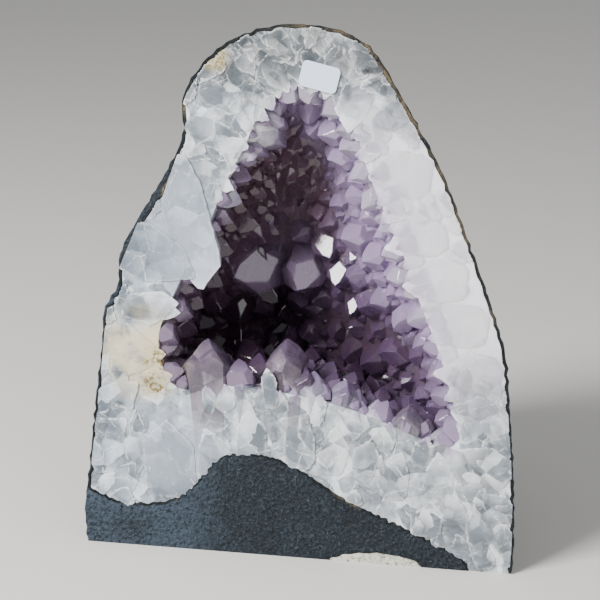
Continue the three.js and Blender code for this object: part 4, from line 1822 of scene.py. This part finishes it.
    def rim_crystal(self, place: RimPlace) -> Object:
        """Grows one crystal of the rim, with its sawn front and its natural faces behind.

        Args:
            place: The crystal's place.

        Returns:
            The crystal, with its growth values.
        """
        root, tip = np.array(place.root), np.array(place.tip)
        length = float(np.linalg.norm(tip - root))
        along = (tip - root) / length
        across = np.array([-along[1], along[0]])
        share, side = self.front_outline(place, self.outline_points // (2 if place.flat else 1))
        leans = [vary(place.number, Trait.LEAN_ACROSS), vary(place.number, Trait.LEAN_ALONG)]
        tilts = self.tilt * place.line * np.array(leans)
        centre = root + along * length * 0.5
        rings, blooms, shares = [], [], []
        for ring in self.rim_rings(place):
            ahead = share * length - ring.pull * place.half * share
            ahead = length / 2 + (ahead - length / 2) * ring.shrink
            flat = root + ahead[:, None] * along
            flat = flat + (side * place.half * ring.width)[:, None] * across
            depth = place.front + ring.depth * place.half + (flat - centre) @ tilts
            rings.append(self.form.face.points(flat[:, 0], flat[:, 1], depth))
            # Each ring's outline brightness: a painted highlight that grows towards the crystal's
            # tip.
            blooms.append(ring.bloom * place.line * (0.35 + 0.65 * np.clip(share, 0, 1)))
            shares.append(ahead / length * place.tint)
        obj, level, point = ring_stack("rim crystal", rings)
        # The tone: a random share, plus painted shade that darkens the crystal towards its root
        # and lightens it towards its tip and on one side.
        light = 0.55 * vary(place.number, Trait.RIM_TONE)
        light = light + place.line * 1.5 * (share[point] - 0.6)
        light = light + place.line * 0.3 * side[point] * vary(place.number, Trait.RIM_SLANT)
        grown = [np.array(blooms)[level, point], np.array(shares)[level, point], light]
        mark(obj, Mark.GROWN, np.column_stack(grown)[read(obj.data.loops, "vertex_index")])
        self._keep_inside(obj, root)
        return obj

    def natural_point(self, point: RimPoint, form: Object, number: int) -> Object:
        """Grows a crystal whose point was left whole, with its front sawn off level.

        Args:
            point: The crystal's root, tip and radius.
            form: The crystal form to copy.
            number: The crystal's number.

        Returns:
            The crystal, with its growth values.
        """
        face = self.form.face
        foot, tip = face.point(*point.root), face.point(*point.tip)
        aim = (tip - foot).normalized()
        length = (tip - foot).length / MM
        spin = FULL_TURN * chance(number, Trait.POINT_SPIN)
        obj = Crystal(foot, aim, point.radius, length, number, spin).placed(form, "rim point")
        cut_away(obj, face.point(0, 0, self.face_depth * 0.7), -face.direction(0, 0, 1))
        self._keep_inside(obj, np.array(point.root[:2]))
        where = read_points(obj)[read(obj.data.loops, "vertex_index")]
        share = (where - np.array(foot)) @ np.array(aim) / (length * MM)
        tone = np.full(len(share), vary(number, Trait.POINT_TONE))
        clear = np.full(len(share), -point.clear)
        return mark(obj, Mark.GROWN, np.column_stack([clear, share, tone]))

    def _keep_inside(self, obj: Object, root: Array) -> None:
        """Cuts a crystal off inside the rind that it grew from, and above the base.

        Args:
            obj: The crystal.
            root: Its root, in (u, v).
        """
        face = self.form.face
        ring = closed_curve(STONE_EDGE, self.edge_points)
        nearest = int(np.argmin(np.linalg.norm(ring - root, axis=1)))
        outwards = np.roll(outward_normals(ring), 3 - nearest, axis=0)[:7].mean(axis=0)
        edge = ring[nearest] - outwards * self.form.rind_at(ring)[nearest] * 0.7
        lean = self.form.taper * edge[0] * outwards[0] + self.side_room
        side = face.direction(*outwards, lean).normalized()
        for place, normal in [(face.point(*edge, 0), side), *self.form.base_planes()]:
            if np.any((read_points(obj) - np.array(place)) @ np.array(normal) > 0):
                cut_away(obj, place, normal)

    def build(self) -> Object:
        """Builds the wall and grows the rim crystals on it.

        Returns:
            The wall with its crystals.
        """
        form = self.form
        crystals = [self.rim_crystal(place) for place in self.places()]
        forms = [CrystalForm(60 + n, 0.7, 0.06, 2, wobble=0.05).build() for n in range(5)]
        points: list[RimPoint] = []
        for k, point in enumerate(self.points):
            points += [point, point.neighbour(2 * k), point.neighbour(2 * k + 1)]
        crystals += [
            self.natural_point(point, forms[k % len(forms)], self.first_point + k)
            for k, point in enumerate(points)
        ]
        for shape in forms:
            bpy.data.objects.remove(shape)
        wall = mark(form.quartz_form(-form.gap / 2), Mark.CRYSTAL, 0)
        wall.name = Node.QUARTZ.value + "_grown"
        for tool in (form.in_front(self.face_depth), form.hollow(0), *form.under_base()):
            wall = joined(wall, mark(tool, Mark.CRYSTAL, 0), Join.CUT)
        wall = mark(largest_part(wall), Mark.GROWN, (0.15, 0, 0))
        activate(wall)
        for crystal in crystals:
            crystal.select_set(True)
        bpy.ops.object.join()
        smooth_by_angle(wall, 24)
        LOG.info("quartz wall: %d rim crystals, %d faces", len(crystals), len(wall.data.polygons))
        return wall


@dataclass(frozen=True)
class CrustPass:
    """A round of crystals on the hollow's wall, from large ones to those in the gaps."""

    tries: int
    radius: float
    spacing: float
    start: int = 0


@dataclass(frozen=True)
class ClusterCrystal:
    """A large crystal of the cluster on the back wall, by its foot in (u, v, w)."""

    foot: Triple
    aim: Triple
    radius: float
    length: float


@dataclass
class AmethystCrust:
    """The crust of amethyst crystals that lines the hollow, fused in one body.

    Crystals with a radius up to plain_up_to have plain edges, and deep ones above high_up are
    finer. They are paler towards the face, from one of the pale_depths_with_painted_light at
    the left and the other at the right; the deeper pale band on the lit right side is painted
    light. flash and glint are the ways that mirror the window and the sky.
    """

    form: StoneForm
    front: float = 0.75
    lining: float = 1.1
    lining_front: float = 5
    sunk: float = 0.3
    lining_depth: float = 0.95
    lean: float = 0.3
    high_up: float = 160
    finer: float = 0.62
    plain_up_to: float = 3.4
    strays: float = 0.04
    cluster_tone: float = 1.5
    pale_depths_with_painted_light: tuple[float, float] = (12, 62)
    spread: tuple[float, float] = (0.7548776662, 0.569840291)
    towards: Triple = (22, 25, 18)
    passes: Sequence[CrustPass] = (
        CrustPass(700, 7.2, 0.78),
        CrustPass(1800, 4.8, 0.8, start=1000),
        CrustPass(4200, 2.8, 0.84, start=4000),
    )
    cluster: Sequence[ClusterCrystal] = (
        ClusterCrystal((-25, 132, 76), (0.05, 0.1, -1), 14, 42),
        ClusterCrystal((-41, 140, 72), (-0.1, 0.05, -1), 10, 32),
        ClusterCrystal((-8, 139, 66), (0.25, -0.1, -1), 11.5, 33),
        ClusterCrystal((-22, 153, 66), (0.05, 0.35, -1), 9, 26),
    )
    cluster_foot: Sequence[ClusterCrystal] = (
        ClusterCrystal((-33, 114, 80), (0, -0.25, -1), 8.5, 26),
        ClusterCrystal((-14, 118, 74), (0.25, -0.35, -1), 8, 22),
        ClusterCrystal((-46, 120, 74), (-0.2, -0.2, -1), 7, 20),
    )
    flashes: Sequence[ClusterCrystal] = (
        ClusterCrystal((4, 146, 52), (0, 0, -1), 8, 17),
        ClusterCrystal((13, 134, 50), (-0.2, 0.1, -1), 7.5, 17),
        ClusterCrystal((20, 118, 50), (-0.2, 0.2, -1), 5, 13),
        ClusterCrystal((1, 164, 48), (-0.1, 0, -1), 5, 13),
        ClusterCrystal((22, 144, 46), (-0.3, 0.1, -1), 4, 12),
    )
    flash: Triple = (-0.18, -0.842, 0.509)
    glint: Triple = (0.415, -0.845, 0.338)

    def wall_place(self, mouth: Array, turn: float, share: float) -> tuple[Vector, Vector]:
        """A place of the wall and the way that the hollow lies from it.

        Args:
            mouth: Points of the hollow's mouth.
            turn: The way round the mouth, from 0 to 1.
            share: The share of the hollow's depth.

        Returns:
            The place and the unit normal into the hollow.
        """
        form = self.form
        at = int(turn * len(mouth))
        beside = (at + 4) % len(mouth)
        steps = ((at, share), (beside, share), (at, min(1, share + 0.02)))
        foot, across, deeper = (
            form.face.point(*form.wall_ring(mouth[k], deep, -form.gap)) for k, deep in steps
        )
        inward = (across - foot).cross(deeper - foot).normalized()
        u, v, w = self.towards
        middle = form.face.point(form.hollow_centre[0] + u, form.hollow_centre[1] + v, w)
        return foot, inward if inward.dot(middle - foot) > 0 else -inward

    def flashing(self, crystal: ClusterCrystal, number: int, way: Triple) -> Crystal:
        """A crystal turned so that one large face of its point looks in a given direction.

        Args:
            crystal: Its foot, rough aim and size.
            number: The crystal's number.
            way: The direction.

        Returns:
            The crystal with its aim and spin.
        """
        face = self.form.face
        shine = Vector(way).normalized()
        rough = face.direction(*crystal.aim)
        sideways = (rough - shine * rough.dot(shine)).normalized()
        slope = math.pi / 2 - CrystalForm.tip_angle
        aim = shine * math.cos(slope) + sideways * math.sin(slope)
        seen = aim.to_track_quat("Z", "Y").inverted() @ shine
        spin = math.atan2(seen.y, seen.x) - math.pi / 6
        foot = face.point(*crystal.foot)
        return Crystal(foot, aim, crystal.radius, crystal.length, number, spin)

    def dull_spin(self, aim: Vector, number: int) -> float:
        """The turn about its length that keeps most crystals from mirroring the window.

        Args:
            aim: The way that the crystal points.
            number: The crystal's number.

        Returns:
            The angle.
        """
        if chance(number, Trait.CRUST_STRAY) < self.strays:
            return FULL_TURN * chance(number, Trait.CRUST_SPIN)
        seen = aim.to_track_quat("Z", "Y").inverted() @ Vector(self.flash)
        aside = FULL_TURN / 24 * (1 if number % 2 else -1)
        return math.atan2(seen.y, seen.x) + aside + 0.06 * vary(number, Trait.CRUST_SPIN)

    def places(self) -> list[Crystal]:
        """Every crystal: the cluster first, then those that fit round them, large to small.

        Returns:
            The crystals.
        """
        mouth = closed_curve(MOUTH_EDGE, 360)
        face = self.form.face
        made = [self.flashing(c, 7 * n, self.glint) for n, c in enumerate(self.cluster)]
        made += [
            Crystal(face.point(*c.foot), face.direction(*c.aim), c.radius, c.length, 3 * n, n)
            for n, c in enumerate(self.cluster_foot)
        ]
        made += [self.flashing(c, 5 * n, self.flash) for n, c in enumerate(self.flashes)]
        feet = [crystal.foot for crystal in made]
        radii = [crystal.radius for crystal in made]
        for stage in self.passes:
            for k in range(stage.start + 1, stage.start + stage.tries + 1):
                turn, share = (k * step % 1 for step in self.spread)
                share = 0.03 + 0.95 * share
                foot, inward = self.wall_place(mouth, turn, share)
                radius = stage.radius * (0.8 + 0.35 * share + 0.25 * vary(k, Trait.CRUST_RADIUS))
                if share > 0.3 and face.height_of(np.array([foot]))[0] > self.high_up:
                    radius *= self.finer
                away = np.linalg.norm(np.array(feet) - np.array(foot), axis=1) / MM
                if np.any(away < stage.spacing * (np.array(radii) + radius)):
                    continue
                sway = Vector([vary(k, Trait.CRUST_SWAY + axis) for axis in range(3)]) * self.lean
                aim = (inward + sway).normalized()
                length = 1.5 + radius * (1.15 + 0.6 * chance(k, Trait.CRUST_LENGTH))
                made.append(Crystal(foot, aim, radius, length, k, self.dull_spin(aim, k)))
                feet.append(foot)
                radii.append(radius)
        return made

    def build(self) -> Object:
        """Builds the lining and grows the crystals on it.

        Returns:
            The crust.
        """
        form = self.form
        fine = [CrystalForm(20 + n, 1.0, 0.035, 1).build() for n in range(8)]
        plain = [CrystalForm(40 + n, 1.0, 0.0, 1).build() for n in range(4)]
        places = self.places()
        crystals = []
        for number, crystal in enumerate(places, start=1):
            forms = fine if crystal.radius > self.plain_up_to else plain
            obj = crystal.placed(forms[crystal.number % len(forms)], "crust crystal")
            crystals.append(mark(obj, Mark.CRYSTAL, number))
        for shape in fine + plain:
            bpy.data.objects.remove(shape)
        space = mark(form.hollow(self.sunk), Mark.CRYSTAL, 0)
        core = form.hollow(-form.gap - self.lining, 90, 30, self.lining_depth)
        crust = copy_of(space, Node.AMETHYST.value + "_grown")
        for tool in (core, form.in_front(self.lining_front)):
            crust = joined(crust, mark(tool, Mark.CRYSTAL, 0), Join.CUT)
        crust = joined(crust, crystals, Join.ADD)
        crust = joined(crust, space, Join.KEEP_SHARED)
        crust = joined(crust, mark(form.in_front(self.front), Mark.CRYSTAL, 0), Join.CUT)
        self.keep_growth(crust, places)
        activate(crust)
        bpy.ops.object.shade_flat()
        LOG.info("amethyst crust: %d crystals, %d faces", len(places), len(crust.data.polygons))
        return crust

    def keep_growth(self, crust: Object, places: Sequence[Crystal]) -> None:
        """Keeps each spot's growth values: how near the face it lies, with painted light on the
        upper right, and its way to the tip.

        Args:
            crust: The crust, whose faces know their crystals.
            places: The crystals, of which the first has the number 1.
        """
        mesh, face = crust.data, self.form.face
        numbers = read(mesh.attributes[Mark.CRYSTAL.value[0]].data, "value")
        numbers = np.repeat(numbers, read(mesh.polygons, "loop_total"))
        where = read_points(crust)[read(mesh.loops, "vertex_index")]
        feet = np.array([places[0].foot] + [c.foot for c in places])
        aims = np.array([places[0].aim] + [c.aim for c in places])
        lengths = np.array([1.0] + [c.length for c in places]) * MM
        tones = np.array([0.0] + [vary(c.number, Trait.CRUST_TONE) for c in places])
        tones[1 : len(self.cluster) + 1] = self.cluster_tone
        along = ((where - feet[numbers]) * aims[numbers]).sum(axis=1) / lengths[numbers]
        along = np.where(numbers == 0, 0.15, np.clip(along, 0, 1))
        # Painted light: the pale band reaches deeper and is stronger on the upper right, where the
        # light falls on the wall.
        right = np.clip((where[:, 0] / MM + 25) / 50, 0, 1)
        right = right * np.clip((face.height_of(where) - 100) / 45, 0.15, 1)
        least, most = self.pale_depths_with_painted_light
        shallow_and_painted_light = np.clip(1 - face.depth_of(where) / (least + (most - least) * right), 0, 1)
        shallow_and_painted_light = shallow_and_painted_light * (0.45 + 0.55 * np.clip(right * 2.5, 0, 1))
        mark(crust, Mark.GROWN, np.column_stack([shallow_and_painted_light, along, tones[numbers]]))


@dataclass
class BasaltShell:
    """The grey rock: the hill under the quartz, the thin dark rind and the weathered back."""

    form: StoneForm
    rind_line: float = 0.9
    line_depth: float = 0.15
    line_room: float = 0.05
    skin_depth: float = 12

    def build(self) -> Object:
        """Builds the shell with a dark line where it meets the quartz.

        Returns:
            The shell, still without room for the pale lens.
        """
        form = self.form
        reach = form.gap / 2 + self.rind_line
        stone = form.stone()
        share = np.clip(form.face.depth_of(read_points(stone)) / self.skin_depth, 0, 1)
        for size, height in ((12, 3.0), (3.5, 1.1)):
            roughened(stone, size, height, share)
        line = mark(copy_of(stone, "line"), Mark.CONTACT, 1)
        for tool, how in (
            (form.quartz_form(reach + self.line_room), Join.KEEP_SHARED),
            (form.quartz_form(form.gap / 2), Join.CUT),
            (form.in_front(self.line_depth), Join.CUT),
        ):
            line = joined(line, mark(tool, Mark.CONTACT, 1), how)
        shell = mark(stone, Mark.CONTACT, 0)
        shell = joined(shell, mark(form.quartz_form(reach), Mark.CONTACT, 1), Join.CUT)
        shell = joined(shell, mark(line, Mark.CONTACT, 1), Join.ADD)
        for tool in form.under_base():
            shell = joined(shell, mark(tool, Mark.CONTACT, 0), Join.CUT)
        shell.name = Node.BASALT.value + "_weathered"
        return shell


@dataclass
class PaleInclusion:
    """The lumpy pale lens bedded in the foot of the face."""

    form: StoneForm
    u: float = 39.5
    length: float = 42
    height: float = 5
    depth: float = 6
    proud: float = 0.2

    def body(self, grow: float) -> Object:
        """The whole lens.

        Args:
            grow: Millimetres that it is larger all round.

        Returns:
            The closed body.
        """
        sphere = bpy.ops.mesh.primitive_uv_sphere_add
        obj = added("lens", sphere, segments=96, ring_count=48, radius=1)
        unit = read_points(obj)
        lump = 1 + 0.07 * np.sin(9 * unit[:, 0] + 1) * np.cos(7 * unit[:, 2] + 4 * unit[:, 0])
        half = np.array([self.length / 2 + grow, self.depth + grow, self.height + grow])
        places = unit * half
        places[:, [0, 2]] *= lump[:, None]
        places += [self.u, self.form.face.foot_y, 0]
        write_points(obj, places * MM)
        return obj

    def build(self) -> Object:
        """Cuts the lens back to the saw's face and to the base, and roughens it.

        Returns:
            The finished lens.
        """
        obj = self.body(0)
        obj.name = Node.PATCH.value + "_rough"
        roughened(obj, 2.2, 0.9, np.ones(len(obj.data.vertices)))
        face = self.form.face
        cut_away(obj, face.point(0, 0, -self.proud), -face.direction(0, 0, 1))
        return joined(obj, self.form.ground(), Join.CUT)


@dataclass
class PriceLabel:
    """The small blank paper label stuck on the face."""

    face: SawnFace
    u: float = 7
    v: float = 229
    width: float = 18
    height: float = 12
    corner: float = 2.2
    thick: float = 0.3
    turn: float = math.radians(-13)
    lift: float = 0.3

    def build(self) -> Object:
        """Cuts the sheet, rounds its corners and sticks it on.

        Returns:
            The label.
        """
        obj = added(Node.LABEL.value + "_paper", bpy.ops.mesh.primitive_plane_add, size=1)
        obj.scale = (self.width * MM, self.height * MM, 1)
        bpy.ops.object.transform_apply(scale=True)
        lifted = {"value": (0, 0, self.thick * MM)}
        with editing():
            bpy.ops.mesh.bevel(offset=self.corner * MM, segments=6, affect="VERTICES")
            bpy.ops.mesh.select_all(action="SELECT")
            bpy.ops.mesh.extrude_region_move(TRANSFORM_OT_translate=lifted)
            bpy.ops.mesh.select_all(action="SELECT")
            bpy.ops.mesh.normals_make_consistent(inside=False)
        upright = Matrix.Rotation(math.pi / 2 - self.face.lean, 4, "X")
        turned = Matrix.Rotation(self.turn, 4, "Z")
        place = Matrix.Translation(self.face.point(self.u, self.v, -self.lift))
        obj.data.transform(place @ upright @ turned)
        return obj


@dataclass
class Geode:
    """The whole stone: its pieces are built in order and dressed with their finishes."""

    face: SawnFace

    def assemble(self) -> list[Object]:
        """Builds and dresses every piece.

        Returns:
            The finished pieces.
        """
        form = StoneForm(self.face)
        patch = PaleInclusion(form)
        room = mark(patch.body(form.gap), Mark.CONTACT, 0)
        shell = largest_part(joined(BasaltShell(form).build(), room, Join.CUT))
        smooth_by_angle(shell, 50)
        wall, crust = QuartzWall(form).build(), AmethystCrust(form).build()
        patch, label = patch.build(), PriceLabel(self.face).build()
        return [
            self.dressed(shell, Node.BASALT, Basalt()),
            self.dressed(wall, Node.QUARTZ, MilkyQuartz(face=self.face)),
            self.dressed(crust, Node.AMETHYST, AmethystGlass()),
            self.dressed(patch, Node.PATCH, PaleCrust()),
            self.dressed(label, Node.LABEL, LabelPaper()),
        ]

    def dressed(self, obj: Object, node: Node, finish: Finish) -> Object:
        """Gives a piece its finish and says which solid it stands for.

        Args:
            obj: The finished mesh.
            node: The solid that it replaces.
            finish: The finish.

        Returns:
            The same object.
        """
        obj.data.materials.clear()
        obj.data.materials.append(finish.material())
        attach(obj, BODY)
        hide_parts(node.value)
        LOG.info("%s: %d faces", obj.name, len(obj.data.polygons))
        return obj


@dataclass
class Studio:
    """A pale floor, soft light and the camera at the photograph's angle."""

    face: SawnFace
    azimuth: float = math.radians(11)
    elevation: float = math.radians(16)
    distance: float = 850
    middle: float = 124.5
    lens: float = 109.2
    sky: float = 0.55

    def build(self) -> None:
        """Sets up floor, world, lights and camera."""
        self._floor()
        self._world()
        self._light("window", (-0.75, -0.85, 0.95), 0.55, 42)
        self._light("fill", (0.9, -1.0, 0.55), 0.9, 6)
        self._camera()

    def _floor(self) -> None:
        """A pale floor, out to the horizon."""
        floor = added("studio_floor", bpy.ops.mesh.primitive_plane_add, size=6)
        material = bpy.data.materials.new("studio paper")
        material.use_nodes = True
        shader = material.node_tree.nodes["Principled BSDF"]
        shader.inputs["Base Color"].default_value = linear("#d6d3ce")
        shader.inputs["Roughness"].default_value = 0.8
        floor.data.materials.append(material)

    def _world(self) -> None:
        """Plain pale light from all round."""
        world = bpy.data.worlds.new("studio")
        world.use_nodes = True
        background = world.node_tree.nodes["Background"]
        background.inputs["Color"].default_value = linear("#e4e6ea")
        background.inputs["Strength"].default_value = self.sky
        bpy.context.scene.world = world

    def _light(self, name: str, place: Triple, size: float, power: float) -> None:
        """A square soft light that looks at the middle of the stone.

        Args:
            name: The light's name.
            place: Where it stands, in metres.
            size: The length of its sides in metres.
            power: Its power in watts.
        """
        data = bpy.data.lights.new(name, "AREA")
        data.size = size
        data.energy = power
        lamp = bpy.data.objects.new(name, data)
        lamp.location = place
        aim = Vector((0, -0.03, self.middle * MM)) - lamp.location
        lamp.rotation_euler = aim.to_track_quat("-Z", "Y").to_euler()
        bpy.context.collection.objects.link(lamp)

    def _camera(self) -> None:
        """The camera, slightly to the right of the face and above it."""
        rise = self.middle * math.tan(self.face.lean)
        target = Vector((0, self.face.foot_y + rise, self.middle)) * MM
        level, rise = math.cos(self.elevation), math.sin(self.elevation)
        back = Vector((math.sin(self.azimuth) * level, -math.cos(self.azimuth) * level, rise))
        data = bpy.data.cameras.new("camera")
        data.lens = self.lens
        data.sensor_width = 36
        camera = bpy.data.objects.new("camera", data)
        camera.location = target + back * self.distance * MM
        camera.rotation_euler = (-back).to_track_quat("-Z", "Y").to_euler()
        bpy.context.collection.objects.link(camera)
        bpy.context.scene.camera = camera


def main() -> None:
    """Builds the scene in order, and the pieces note their numbers of faces."""
    logging.basicConfig(level=logging.INFO, format="%(name)s: %(message)s")
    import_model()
    low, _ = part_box(Node.BASALT.value)
    face = SawnFace(foot_y=low.y / MM)
    Geode(face).assemble()
    Studio(face).build()


if __name__ == "__main__":
    main()
